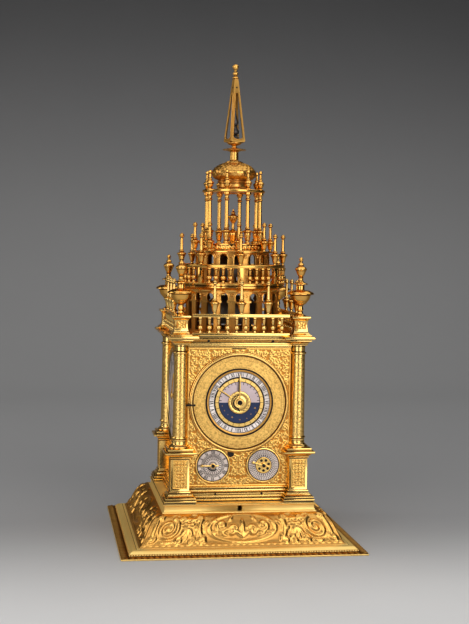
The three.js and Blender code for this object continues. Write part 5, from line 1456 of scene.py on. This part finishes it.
class CLOCK_OT_podium(Operator):
    """Round podium with its finials and middle urn"""

    bl_idname = "clock.podium"
    bl_label = "Podium"

    def execute(self, context):
        foot, top = PODIUM_FOOT, COLONNADE_FOOT
        rise = top - foot
        step = shifted(turned(outline(
            (0, 0), (33.4, 0), (33.7, 0.4, 0.2), (33.7, 1.0), (33.3, 1.3, 0.2), (27.6, 1.6),
            (26.3, 2.4, -0.2), (25.8, 2.5), (25.8, 5.9), (26.2, 6.1), (26.7, 6.3),
            (26.7, rise - 0.2), (26.4, rise), (0, rise)), 128), z=foot)
        leaf_part = turned(outline((0, 0), (1.0, 0.1), (1.0, 0.5, 0.3), (0, 0.7), parts=3), 8)
        lean = facing_front(0, 0, foot + 4.2)
        upright = moved(leaf_part, lean @ Matrix.Diagonal((0.8, 1.65, 0.7, 1)))
        slant = lean @ Matrix.Rotation(0.6, 4, "Z")
        slanted = moved(leaf_part, slant @ Matrix.Diagonal((0.5, 1.6, 0.6, 1)))
        leaves = [ring_of([upright], 48, 25.8), ring_of([slanted], 48, 25.8, 3.75)]
        pins = shifted(ring_of([finial(23.1)], 8, 31.3), z=foot + 1.3)
        urn = turned(outline(
            (0, 0), (1.9, 0), (1.6, 0.8, -0.2), (3.0, 6.0, 0.06), (3.4, 8.5, 0.1), (2.2, 9.6, 0.2),
            (3.6, 10.2, 0.3), (2.4, 10.9, 0.2), (1.3, 12.0), (1.2, 16.5), (2.0, 18.0, -0.1),
            (3.6, 21.2, 0.05), (4.1, 22.2, 0.2), (3.8, 22.9, 0.3), (2.2, 23.6), (1.4, 24.8),
            (1.7, 25.6, 0.3), (1.0, 26.6), (0.6, 27.8), (0, 28.7, 0.2), parts=5), 40)
        # The podium takes the darker copy of the gilt: painted shade of the upper storey.
        dress("podium_step", [step], "warm_gilt", "podium", crease=30)
        dress("podium_turnings", [*leaves, pins, shifted(urn, z=top)], "warm_gilt", weld=False)
        return {"FINISHED"}


class CLOCK_OT_colonnade(Operator):
    """Slender columns under the canopy plate"""

    bl_idname = "clock.colonnade"
    bl_label = "Colonnade"

    def execute(self, context):
        foot, under = COLONNADE_FOOT, DOME_FOOT - 2.3
        rise, pin_rise = under - foot, high("colonnade", Z) - DOME_FOOT
        column = turned(outline(
            (0, 0), (2.4, 0), (2.4, 0.8, 0.2), (1.7, 1.6, -0.1), (1.6, 2.2), (2.2, 5.0, 0.08),
            (2.8, 9.0, 0.05), (3.1, 9.5), (3.7, 10.0, 0.2), (3.5, 10.8, 0.2), (2.0, 11.3),
            (1.7, 11.9), (2.2, 12.4, 0.3), (1.7, 12.9), (1.6, 13.4), (1.5, 35.0), (2.0, 35.4),
            (2.1, 36.0, 0.3), (1.6, 36.6), (1.55, 38.0), (2.4, 39.6, -0.12), (2.6, 40.4, 0.2),
            (2.6, rise), (0, rise), parts=4), 22)
        pin = turned(outline(
            (0, 0), (2.4, 0), (2.3, 0.7, 0.2), (1.4, 1.5, -0.1), (2.6, 4.6, 0.1), (3.0, 5.8, 0.3),
            (1.6, 7.0), (1.3, 7.6), (1.8, 8.3, 0.3), (1.1, 9.1), (1.0, 13.2), (1.4, 14.4, 0.3),
            (0.8, 15.4, 0.2), (0, pin_rise), parts=4), 20)
        canopy = turned(outline((14.2, under), (24.8, under), (25.7, under + 0.8, 0.2),
                                (25.7, under + 1.4), (25.2, DOME_FOOT, 0.2), (14.2, DOME_FOOT)),
                        128, closed=True)
        columns = shifted(ring_of([column], 8, 22.4, 22.5), z=foot)
        pins = shifted(ring_of([pin], 8, 22.4, 22.5), z=DOME_FOOT)
        # The colonnade takes the darker copy of the gilt: painted shade of the upper storey.
        dress("canopy_plate", [canopy], "warm_gilt", "colonnade", crease=30)
        dress("canopy_columns", [columns, pins], "warm_gilt", weld=False)
        return {"FINISHED"}


class CLOCK_OT_dome(Operator):
    """Dome chased with overlapping scales, its neck and dish"""

    bl_idname = "clock.dome"
    bl_label = "Dome"

    def execute(self, context):
        tall, foot = context.scene.clock_sizes.scale / MM, DOME_FOOT
        lower = outline(
            (0, 0), (14.4, 0), (14.4, 0.8), (13.8, 1.0), (13.6, 1.4), (12.2, 3.0, -0.15),
            (12.0, 5.2), (12.5, 5.5), (12.5, 6.1), (13.0, 6.3), (13.2, 7.3, 0.3), (12.6, 7.7),
            (12.6, 8.2))
        bulb = outline(
            (12.6, 8.2), (16.2, 9.9, 0.06), (18.0, 13.5, 0.14), (16.4, 17.1, 0.12),
            (12.6, 20.2, 0.06), (7.6, 22.3, 0.02), parts=16)
        upper = outline(
            (7.6, 22.3), (7.4, 22.9), (6.2, 23.1), (6.0, 23.6), (3.5, 24.4, -0.2), (3.4, 30.9),
            (3.9, 31.5, -0.2), (9.3, 32.7, -0.06), (9.6, 33.0, 0.3), (9.0, 33.4), (2.8, 34.5),
            (0, 34.5))
        run, slope, fade = course(bulb, 1.0)
        sides, around, rows = 264, 24, 9
        angle = np.linspace(0, 2 * np.pi, sides, endpoint=False)[:, None]
        level = (run[-1] - run)[None, :] / run[-1] * rows
        height = np.zeros((sides, len(run)))
        free = np.ones((sides, len(run)), bool)
        for row in range(rows + 1):
            down = level - row + 0.35
            across = (angle / (2 * np.pi) * around + 0.5 * (row % 2)) % 1 - 0.5
            tip = np.clip((down - 0.75) / 0.6, 0, None) ** 2
            inside = free & (down >= 0) & (down <= 1.35) & ((across / 0.5) ** 2 + tip <= 1)
            rib = 0.3 * np.exp(-(across / 0.06) ** 2)
            lift = np.clip(0.2 + 0.65 * down, 0, 1) - 1.1 * np.abs(across) ** 2 + rib
            height[inside] = lift[inside]
            free &= ~inside
        push = tall * (height - 0.5) * fade
        radius = bulb[None, :, 0] + push * slope[None, :, 1]
        up = bulb[None, :, 1] - push * slope[None, :, 0]
        grid = np.stack([radius * np.cos(angle), radius * np.sin(angle), foot + up], -1)
        points, quads = sheet(grid, wrap_u=True)
        scales = (points, quads, np.clip(0.9 - 1.4 * height, 0, 1) * fade)
        mouldings = [shifted(turned(part, sides), z=foot) for part in (lower, upper)]
        dress("dome_chased", [*mouldings, scales], "chased_gilt", "dome", crease=50)
        return {"FINISHED"}


class CLOCK_OT_spire(Operator):
    """Open four-sided spire with its knop and finial"""

    bl_idname = "clock.spire"
    bl_label = "Spire"

    def execute(self, context):
        foot, tip = SPIRE_FOOT, SPIRE_TOP - SPIRE_FOOT
        keel, head = 4.4, tip - 11
        rise, wide, narrow, wall, bar = head - keel, 6.6, 1.7, 1.3, 1.5
        low_end, low_round, high_end = 2.2, 2.4, 39.0

        def half_at(up):
            return wide + (narrow - wide) * up / rise

        window, rim = [], []
        for t in np.linspace(-np.pi / 2, 0, 6):
            side = half_at(low_end + low_round) - bar
            window.append((side * math.cos(t), low_end + low_round * (1 + math.sin(t))))
            lift = 2.6 * (1 + math.sin(t))
            rim.append((half_at(lift) * min(1.0, 1.5 * math.cos(t)), lift))
        for up in np.linspace(8, high_end - 4, 6):
            window.append((half_at(up) - bar, up))
            rim.append((half_at(up), up))
        for t in np.linspace(0, np.pi / 2, 5):
            side, lift = half_at(high_end) - bar, high_end + (rise - high_end) * min(1.0, t)
            window.append((side * math.cos(t), high_end + side * math.sin(t)))
            rim.append((half_at(lift) * min(1.0, 1.6 * math.cos(t)), lift))
        loops = [np.array(side + [(-x, up) for x, up in side[-2:0:-1]]) for side in (window, rim)]

        def leaned(places, depth):
            out = half_at(places[:, 1]) - depth
            across = np.clip(places[:, 0], -out, out)
            return np.column_stack([across, -out, foot + keel + places[:, 1]])

        inside, outside = loops
        face = outward(sheet(np.array([leaned(outside, wall), leaned(inside, wall),
                                       leaned(inside, 0), leaned(outside, 0)]), wrap_u=True,
                             wrap_v=True))
        # The bars' back faces and window sides are darkened: painted shade inside the spire.
        face = (*face[:2], np.repeat((0.9, 0.9, 0.5, 0.0), len(inside)))
        lip = tube(np.vstack([leaned(inside, -0.05), leaned(inside[:2], -0.05)]), 0.3, 6)
        knop = turned(outline(
            (0, 0), (2.6, 0), (2.4, 0.4), (1.9, 1.0, -0.2), (2.0, 1.5), (3.4, 2.4, -0.12),
            (5.4, 3.4, 0.1), (5.9, 4.0, 0.2), (5.6, 4.9), (0, 5.2), parts=5), 40)
        crown = turned(outline(
            (0, head - 0.8), (2.2, head - 0.8), (2.7, head, 0.2), (2.1, head + 0.6),
            (1.4, head + 1.2), (1.3, head + 2), (2.2, head + 3.2, 0.3), (1.4, head + 4.4, 0.2),
            (1.2, head + 5.0), (1.5, head + 6.4), (2.4, head + 8.2, 0.1), (2.6, head + 9.2),
            (2.0, head + 10.2, 0.1), (0, tip), parts=5), 32)
        rod = block((-0.6, -0.6, 4.6), (0.6, 0.6, 46))
        bars = four_sides(face, lip)
        bars += [shifted(part, z=foot) for part in (knop, crown, shifted(rod, 1.6, 1.2))]
        core = turned(outline(
            (0, 5), (3.6, 5.2), (3.3, 8.5, 0.2), (2.1, 10.5), (3.2, 14.6, 0.25), (1.7, 18.0),
            (2.6, 22.5, 0.2), (1.3, 26.5), (0.8, 32), (0, 33), parts=4), 12)
        eye = 44.5
        # Black discs stand for the holes: painted shade.
        hole = moved(disc(0.7, 0, 0.12), facing_front(0, -half_at(eye), foot + keel + eye))
        around = about_z(SPIRE_TURN)
        dress("spire_frame", bars, "satin_gilt", "spire", at=around, crease=45, weld=False)
        dress("spire_core", [shifted(core, z=foot)], "dark_steel")
        dress("spire_holes", four_sides(hole), "black_wax", at=around)
        return {"FINISHED"}


class CLOCK_OT_bells(Operator):
    """Two turned bells inside the drums"""

    bl_idname = "clock.bells"
    bl_label = "Bells"

    def execute(self, context):
        for name in ("hour_bell", "quarter_bell"):
            mouth, foot, top = high(name, Y), low(name, Z), high(name, Z)
            rise, wall = top - foot, 1.5
            outside = [
                (1.0, 0.0), (0.985, 0.03), (0.93, 0.12), (0.86, 0.28), (0.8, 0.5), (0.73, 0.7),
                (0.6, 0.87), (0.43, 0.97), (0.3, 1.0)]
            profile = [(r * mouth, foot + z * rise) for r, z in outside]
            profile += [(3.0, top), (3.0, top - wall)]
            profile += [(max(r * mouth - wall, 3.2), max(foot + z * rise - wall, foot))
                        for r, z in outside[::-1]]
            bell = turned(np.array(profile), 96, closed=True)
            # The bells' dark finish is painted shade from inside the drums.
            dress(f"{name}_turned", [bell], "bell_bronze", name, crease=40)
        return {"FINISHED"}


NUMERALS = ("XII", "I", "II", "III", "IIII", "V", "VI", "VII", "VIII", "IX", "X", "XI")
ADVANCE = {"I": 0.34, "V": 0.68, "X": 0.68}


def numeral(text, height, width, bottom, top):
    """Strokes of a numeral about its middle, standing upright."""
    x, parts, half = -sum(ADVANCE[letter] for letter in text) * height / 2, [], height / 2
    for letter in text:
        wide = ADVANCE[letter] * height
        left, right, middle = x + 0.12 * height, x + wide - 0.12 * height, x + wide / 2
        lines = {"I": ((middle, middle, 1.0),), "V": ((middle, left, 1.0), (middle, right, 0.6)),
                 "X": ((right, left, 1.0), (left, right, 0.6))}
        for foot, head, weight in lines[letter]:
            parts.append(stroke(foot, -half, head, half, width * weight, bottom, top))
        x += wide
    return parts


def numerals(count, radius, height, width, bottom, top):
    """The strokes of a ring of hour numerals, set round clockwise."""
    parts = []
    for hour in range(count):
        place = about_z(-360 / count * hour) @ Matrix.Translation((0, radius, 0))
        strokes = numeral(NUMERALS[hour % 12], height, width, bottom, top)
        parts += [moved(part, place) for part in strokes]
    return parts


def ray(bearing, inner, outer, width, bottom, top):
    """A stroke along a clockwise bearing of a dial, between two radii."""
    across, up = math.sin(math.radians(bearing)), math.cos(math.radians(bearing))
    return stroke(inner * across, inner * up, outer * across, outer * up, width, bottom, top)


def ticks(count, radius, half_width, half_length, bottom, top, first=0.0):
    """A ring of ticks on a dial."""
    tick = block((-half_width, -half_length, bottom), (half_width, half_length, top))
    return ring_of([tick], count, radius, first)


def ring_line(radius, width, bottom, top, sides=96):
    """A thin round line on a dial."""
    inner, outer = radius - width / 2, radius + width / 2
    return turned([(inner, bottom), (outer, bottom), (outer, top), (inner, top)], sides,
                  closed=True)


def polar_plate(inner, outer, begin, end, bottom, top, steps=48, rings=10):
    """Part of a flat ring on a dial between two clockwise bearings, closed on every side."""
    angles = np.radians(np.linspace(begin, end, steps))[:, None]
    radii = np.linspace(inner, outer, rings)[None, :]
    grid = surface(radii * np.sin(angles), radii * np.cos(angles), top)
    points, faces = plate(grid, (0, 0, bottom - top))
    return points, [list(face)[::-1] for face in faces]


def star(x, y, size, bottom, top):
    """A small six-pointed star."""
    turns = np.linspace(0, 2 * np.pi, 12, endpoint=False)
    reach = np.where(np.arange(12) % 2, 0.42, 1.0) * size
    return prism(np.column_stack([x + reach * np.sin(-turns), y + reach * np.cos(turns)]), bottom,
                 top)


class CLOCK_OT_main_dial(Operator):
    """Main dial: bezel, engraved annulus, chapter ring, day and night disc"""

    bl_idname = "clock.main_dial"
    bl_label = "Main dial"

    def execute(self, context):
        place = on_face("front", 0, DIAL_UP)
        edge = DIAL_RADIUS
        bezel = turned(outline(
            (26.5, 0.3), (edge, 0.3), (edge, 1.2), (edge - 0.3, 2.0, 0.2), (edge - 0.7, 2.1),
            (edge - 0.8, 2.5), (edge - 1.7, 3.0, 0.2), (edge - 2.3, 2.6, 0.2), (edge - 2.5, 1.9),
            (edge - 2.8, 1.9), (edge - 3.0, 1.4), (27.3, 1.4), (27.2, 1.6),
            (26.5, 1.6)), 160, closed=True)
        dress("dial_bezel_turned", [bezel], "bright_gilt", "dial_bezel", at=place, crease=30)
        count, depth, face, back = 720, 0.12, 1.5, 1.2
        angle = np.linspace(0, 2 * np.pi, count, endpoint=False)[:, None]
        radii = np.linspace(27.2, 36.4, 48)
        chance = np.random.default_rng(41)
        coarse = np.kron(chance.uniform(0, 1, (count // 6, len(radii) // 6)), np.ones((6, 6)))
        middle = np.kron(chance.uniform(0, 1, (count // 3, len(radii) // 4)), np.ones((3, 4)))
        hatch = 0.4 * coarse + 0.4 * middle + 0.2 * chance.uniform(0, 1, coarse.shape)
        for ring, width in ((28.0, 0.12), (33.9, 0.12), (35.6, 0.14)):
            hatch = np.where(np.abs(radii[None, :] - ring) < width, 0.0, hatch)
        marks = (np.cos(angle * 120) > 0.72) & ((radii > 34.1) & (radii < 35.4))[None, :]
        field = depth * np.where(marks, 0.1, hatch)
        grid = surface(radii * np.cos(angle), radii * np.sin(angle), face + field)
        ends = radii[[-1, 0]]
        under = surface(ends * np.cos(angle), ends * np.sin(angle), back)
        whole = np.concatenate([grid, under], axis=1)[:, ::-1]
        points, quads = sheet(whole, wrap_u=True, wrap_v=True)
        dark = np.clip(0.95 - 1.5 * field / depth, 0, 1)
        cut = np.concatenate([dark, np.zeros((count, 2))], axis=1)[:, ::-1]
        dress("dial_annulus", [(points, quads, cut)], "matted_gilt", at=place, crease=75)
        chapter = turned(outline((16.6, 0.3), (26.1, 0.3), (26.1, 1.2), (25.9, 1.5), (16.9, 1.5),
                                 (16.6, 1.3)), 128, closed=True)
        dress("chapter_ring_silvered", [chapter], "silvering", "chapter_ring", at=place, crease=30)
        rim = turned(outline((24.3, 1.3), (25.8, 1.3), (25.8, 1.7), (25.5, 2.0, 0.2), (24.9, 1.9),
                             (24.4, 1.7)), 128, closed=True)
        minute = turned(outline((16.7, 1.3), (19.1, 1.3), (19.1, 1.8), (16.7, 1.8)), 128,
                        closed=True)
        dress("dial_outer_rim", [rim], "aged_gilt", at=place, crease=30)
        dress("dial_minute_ring", [minute], "bright_gilt", at=place, crease=30)
        ink = [ring_line(*line) for line in (
            (26.45, 1.35, 1.3, 1.74), (19.7, 1.35, 1.4, 1.62), (24.1, 0.4, 1.45, 1.58),
            (16.45, 0.5, 1.3, 1.7))]
        # Dark brown rings at the bezel's inner step and outer edge: painted shadow lines.
        shadow_lines = [ring_line(edge - 2.75, 0.3, 1.4, 1.95), ring_line(edge + 0.05, 0.5, 0.0, 0.6)]
        dress("bezel_quirks", shadow_lines, "dark_bed", at=place, weld=False)
        ink += numerals(24, 22.2, 3.0, 0.58, 1.45, 1.56)
        ink += [ray(15 * hour + 7.5, 20.6, 23.8, 0.3, 1.45, 1.55) for hour in range(24)]
        ink.append(ticks(24, 17.9, 0.16, 1.2, 1.6, 1.85))
        ink += [ray(bearing, 14.2 if bearing % 24 else 14.8, 16.1, 0.5, 1.35, 1.45)
                for bearing in range(-84, 90, 12)]
        day, night = (polar_plate(2.7, 16.2, begin, begin + 180, 0.3, 1.4) for begin in (-90, 90))
        dress("day_half", [day], "day_silvering", "day_night_disc", at=place)
        dress("night_half", [night], "blue_enamel", at=place)
        dress("dial_ink", ink, "black_wax", at=place, weld=False)
        stars = [star(x, y, size, 1.35, 1.45) for x, y, size in (
            (12.6, -4.4, 0.9), (-5.6, -11.6, 0.8), (6.2, -12.6, 0.5), (-11.8, -6.4, 0.5),
            (0.6, -13.6, 0.6), (9.4, -9.2, 0.5), (-9.0, -9.6, 0.45), (13.4, -7.6, 0.4),
            (-13.6, -2.6, 0.45))]
        dress("night_stars", stars, "aged_gilt", at=place, weld=False)
        catch = stroke(-42.8, -1.9, -35.0, -1.9, 1.5, 2.2, 3.6)
        # The slot is a black bar: painted shade.
        slot = stroke(-6.6, 42.9, 5.0, 42.9, 0.9, 0.0, 0.6)
        dress("panel_slot", [slot], "black_wax", at=place)
        dress("bezel_catch", [catch], "black_wax", at=place, bevel=0.1)
        return {"FINISHED"}


def pointer(reach, tail, width, bottom, top):
    """A slim hand that points up: a swelling blade with a spear tip."""
    right = [(0.5 * width, -tail), (0.42 * width, reach * 0.3), (0.36 * width, reach * 0.72),
             (1.0 * width, reach * 0.82), (0.3 * width, reach * 0.9), (0.0, reach)]
    left = [(-x, y) for x, y in right[-2::-1]]
    return prism(right + left, bottom, top)


class CLOCK_OT_hands(Operator):
    """Hour hand and moon hand of the main dial"""

    bl_idname = "clock.hands"
    bl_label = "Main hands"

    def execute(self, context):
        place = on_face("front", 0, DIAL_UP)
        hub = turned(outline((1.8, 3.3), (2.85, 3.3), (2.85, 3.8), (2.5, 4.1, 0.2), (1.8, 4.1)), 40,
                     closed=True)
        hour = (pointer(23.0, -2.3, 1.1, 3.35, 4.0), hub)
        dress("hour_hand_gilt", hour, "bright_gilt", "hour_hand", at=place, body="hour_arbor",
              bevel=0.08)
        front = -min(low("hour_wheel", Y), low("hour_hand", Y)) - FACE
        # A painted shadow beside the hand, and a black disc as painted shade in the hub's hole.
        shade = prism([(-1.15, 8.5), (-0.5, 8.5), (-0.5, 17.6), (-1.0, 17.6)], 3.4, 3.8)
        eye = disc(1.85, 3.3, front + 0.12, 24)
        dress("hour_hand_shade", (shade, eye), "black_wax", at=place, body="hour_arbor")
        rosette = [turned(outline(
            (2.0, 2.0), (8.9, 2.0), (9.0, 2.4, 0.2), (8.5, 2.8, 0.1), (6.9, 2.8), (6.6, 2.6),
            (5.6, 2.6), (5.3, 2.8), (2.4, 2.8), (2.0, 2.6)), 72, closed=True)]
        bud = turned(outline((0, 2.4), (0.85, 2.4), (0.7, 2.8, 0.2), (0, 2.95)), 10)
        petals = ring_of([bud], 18, 7.7)
        moon_bearing = 57
        spear = [(-0.4, 19.0), (0.4, 19.0), (0.9, 19.8), (0, 21.0), (-0.9, 19.8)]
        arm = spun(stroke(0, 8.6, 0, 19.4, 0.8, 2.1, 2.7), moon_bearing)
        tip = spun(prism(spear, 2.1, 2.7), moon_bearing)
        dress("moon_hand_gilt", [*rosette, petals, arm, tip], "bright_gilt", "moon_hand", at=place,
              body="moon_hand", weld=False)
        # Black plates in the piercings: painted shade; the strip beside the arm is a painted
        # shadow.
        dark = [polar_plate(4.3, 5.4, 185, 295, 2.4, 2.84, rings=3),
                polar_plate(6.1, 6.6, 190, 290, 2.4, 2.7, rings=3),
                stroke(-1.2, -4.8, 0.3, -7.0, 0.9, 2.4, 2.84),
                spun(stroke(-0.75, 9.2, -0.75, 17.5, 0.5, 2.1, 2.6), moon_bearing)]
        for bearing, radius in ((320, 5.9), (345, 5.6), (300, 5.9)):
            t = math.radians(bearing)
            dot = disc(0.7, 2.5, 2.68, 10)
            dark.append(shifted(dot, radius * math.sin(t), radius * math.cos(t)))
        dress("moon_hand_piercing", dark, "black_wax", at=place, body="moon_hand")
        return {"FINISHED"}


class CLOCK_OT_subdials(Operator):
    """Two small dials with their hands"""

    bl_idname = "clock.subdials"
    bl_label = "Small dials"

    def execute(self, context):
        for side, sign, bearing in (("left", -1, 90), ("right", 1, 75)):
            place = on_face("front", sign * SUBDIAL_ACROSS, SUBDIAL_UP)
            rim = turned(outline(
                (12.3, 0.3), (13.9, 0.3), (13.9, 1.1), (13.6, 1.6, 0.2), (13.2, 1.7),
                (12.7, 1.4, 0.2), (12.3, 0.9)), 96, closed=True)
            face = turned(outline((0.9, 0.3), (12.4, 0.3), (12.4, 0.9), (0.9, 0.95)), 80,
                          closed=True)
            dress(f"{side}_subdial_disc", [face], "dull_silvering", f"{side}_subdial", at=place,
                  crease=30)
            dress(f"{side}_subdial_rim", [rim], "bright_gilt", at=place, crease=30)
            # The ring at the rim's outer foot is a painted shadow line; the rest is black
            # engraving.
            ink = [ring_line(12.25, 0.6, 0.85, 1.02), ring_line(9.1, 0.3, 0.9, 1.0),
                   ring_line(13.95, 0.5, 0.0, 0.42)]
            if side == "left":
                ink += [ring_line(4.9, 0.16, 0.9, 1.0), ring_line(2.9, 0.5, 0.9, 1.1),
                        polar_plate(3.4, 4.5, 130, 260, 0.9, 1.05, rings=3),
                        ticks(24, 6.9, 0.24, 1.9, 0.9, 1.0),
                        ticks(24, 7.7, 0.3, 0.9, 0.9, 1.0, 7.5)]
                ink += numerals(12, 10.6, 2.3, 0.5, 0.9, 1.0)
            else:
                centre = turned(outline((0.9, 0.9), (6.4, 0.9), (6.4, 1.2), (5.9, 1.5, 0.2),
                                        (0.9, 1.5)), 56, closed=True)
                dress("right_subdial_centre", [centre], "bright_gilt", at=place, crease=30)
                ink += [ticks(48, 10.6, 0.2, 1.1, 0.9, 1.0), ticks(30, 7.8, 0.4, 0.7, 0.9, 1.0),
                        ring_of([disc(1.1, 1.4, 1.56)], 7, 4.2), ring_line(6.6, 0.35, 0.9, 1.1)]
            dress(f"{side}_subdial_ink", ink, "black_wax", at=place, weld=False)
            hub = turned(outline((0, 2.0), (2.1, 2.0), (2.1, 2.5), (1.7, 3.0, 0.2), (0, 3.1)), 24)
            hand = [spun(pointer(10.6, 4.4, 1.2, 2.05, 2.65), bearing), hub]
            body = f"{side}_subdial_hand"
            dress(f"{body}_gilt", hand, "bright_gilt", body, at=place, body=body, bevel=0.06)
            # A black disc in the hub: painted shade of its hole.
            dress(f"{body}_eye", [disc(1.45, 3.0, 3.2, 16)], "black_wax", at=place, body=body)
        return {"FINISHED"}


class CLOCK_OT_side_dial(Operator):
    """Side dial with its hand"""

    bl_idname = "clock.side_dial"
    bl_label = "Side dial"

    def execute(self, context):
        place = on_face("left", 0, DIAL_UP)
        edge = DIAL_RADIUS
        rim = turned(outline(
            (36.1, 0.3), (edge, 0.3), (edge, 1.4), (edge - 0.8, 2.6, 0.2), (edge - 1.8, 3.0),
            (edge - 2.9, 2.6, 0.2), (edge - 3.4, 1.5), (36.1, 1.3)), 160, closed=True)
        face = turned(outline((2.4, 0.3), (36.2, 0.3), (36.2, 1.5), (2.4, 1.5)), 128, closed=True)
        dress("side_dial_disc", [face], "silvering", "side_dial", at=place, crease=30)
        dress("side_dial_rim", [rim], "bright_gilt", at=place, crease=30)
        lines = ((35.8, 0.5), (34.2, 0.2), (27.6, 0.2), (25.6, 0.2), (14.0, 0.2))
        ink = [ring_line(radius, width, 1.45, 1.56) for radius, width in lines]
        ink += numerals(12, 30.9, 4.6, 0.6, 1.45, 1.57)
        ink.append(ticks(48, 26.6, 0.2, 0.8, 1.45, 1.57))
        dress("side_dial_ink", ink, "black_wax", at=place, weld=False)
        hub = turned(outline((0, 2.4), (3.2, 2.4), (3.2, 2.9), (2.0, 3.3, 0.2), (0, 3.3)), 32)
        hand = [spun(pointer(24.0, 0.0, 1.8, 2.45, 3.2), -35), hub]
        dress("side_dial_hand_gilt", hand, "bright_gilt", "side_dial_hand", at=place,
              body="strike_arbor", bevel=0.08)
        return {"FINISHED"}


class CLOCK_OT_winding(Operator):
    """Winding hole with its rim, and the engraved oval between the small dials"""

    bl_idname = "clock.winding"
    bl_label = "Winding hole"

    def execute(self, context):
        place = on_face("front", -6.2, 71.5)
        rim = turned(outline((2.6, -0.2), (3.2, -0.2), (3.2, 0.35), (2.9, 0.6, 0.2), (2.6, 0.35)),
                     32, closed=True)
        # A black disc fills the hole: painted shade.
        dark = turned(outline((0, 0.15), (2.65, 0.15), (2.65, 0.4), (1.3, 0.3), (0, 0.3)), 32)
        turns = np.linspace(0, 2 * np.pi, 28)
        path = np.column_stack([1.9 * np.cos(turns), 3.0 * np.sin(turns), np.full_like(turns, 0.3)])
        oval = tube(path, 0.3, 6)
        middle = on_face("front", 0, 61.0)
        dress("winding_rim", [moved(rim, place), moved(oval, middle)], "bright_gilt")
        dress("winding_hole", [dark], "black_wax", at=place)
        return {"FINISHED"}


class CLOCK_OT_movement(Operator):
    """Give the movement's CAD pieces their filed brass and steel"""

    bl_idname = "clock.movement"
    bl_label = "Movement"

    def execute(self, context):
        brass = ("fusee", "mainspring_barrel", "hour_wheel", "contrate_wheel", "crown_wheel",
                 "strike_wheel", "movement_front_plate", "movement_rear_plate", "bell_bridge")
        steel = ("balance", "bell_hammer")
        for finish, nodes in (("filed_brass", brass), ("dark_steel", steel)):
            for node in nodes:
                for entry in bpy.data.objects[node].material_slots:
                    entry.material = bpy.data.materials[finish]
        return {"FINISHED"}


class CLOCK_PT_pieces(Panel):
    """The clock's pieces, in the order in which they are made"""

    bl_idname = "CLOCK_PT_pieces"
    bl_label = "Table clock"
    bl_space_type = "VIEW_3D"
    bl_region_type = "UI"
    bl_category = "Clock"

    def draw(self, context):
        layout = self.layout
        for operator in OPERATORS:
            layout.operator(operator.bl_idname)
        for group in (context.scene.clock_colours, context.scene.clock_sizes,
                      context.scene.clock_studio):
            for name in group.__annotations__:
                layout.prop(group, name)


GROUPS = {"clock_colours": ClockColours, "clock_sizes": ClockSizes, "clock_studio": ClockStudio}
OPERATORS = (
    CLOCK_OT_finishes, CLOCK_OT_stage, CLOCK_OT_flange, CLOCK_OT_skirt, CLOCK_OT_plinth,
    CLOCK_OT_pedestals, CLOCK_OT_columns, CLOCK_OT_panels, CLOCK_OT_cornice,
    CLOCK_OT_upper_pedestals, CLOCK_OT_balustrades, CLOCK_OT_arcades, CLOCK_OT_gallery,
    CLOCK_OT_podium, CLOCK_OT_colonnade, CLOCK_OT_dome, CLOCK_OT_spire, CLOCK_OT_bells,
    CLOCK_OT_main_dial, CLOCK_OT_hands, CLOCK_OT_subdials, CLOCK_OT_side_dial, CLOCK_OT_winding,
    CLOCK_OT_movement)


def register():
    """Register the classes and hang the settings on the scene."""
    for cls in (*GROUPS.values(), *OPERATORS, CLOCK_PT_pieces):
        bpy.utils.register_class(cls)
    for name, group in GROUPS.items():
        setattr(bpy.types.Scene, name, PointerProperty(type=group))


def unregister():
    """Take the settings off the scene and the classes out."""
    for name in GROUPS:
        delattr(bpy.types.Scene, name)
    for cls in (CLOCK_PT_pieces, *OPERATORS[::-1], *GROUPS.values()):
        bpy.utils.unregister_class(cls)


def main():
    """Make every piece in order."""
    register()
    for operator in OPERATORS:
        group, name = operator.bl_idname.split(".")
        getattr(getattr(bpy.ops, group), name)()


if __name__ == "__main__":
    main()
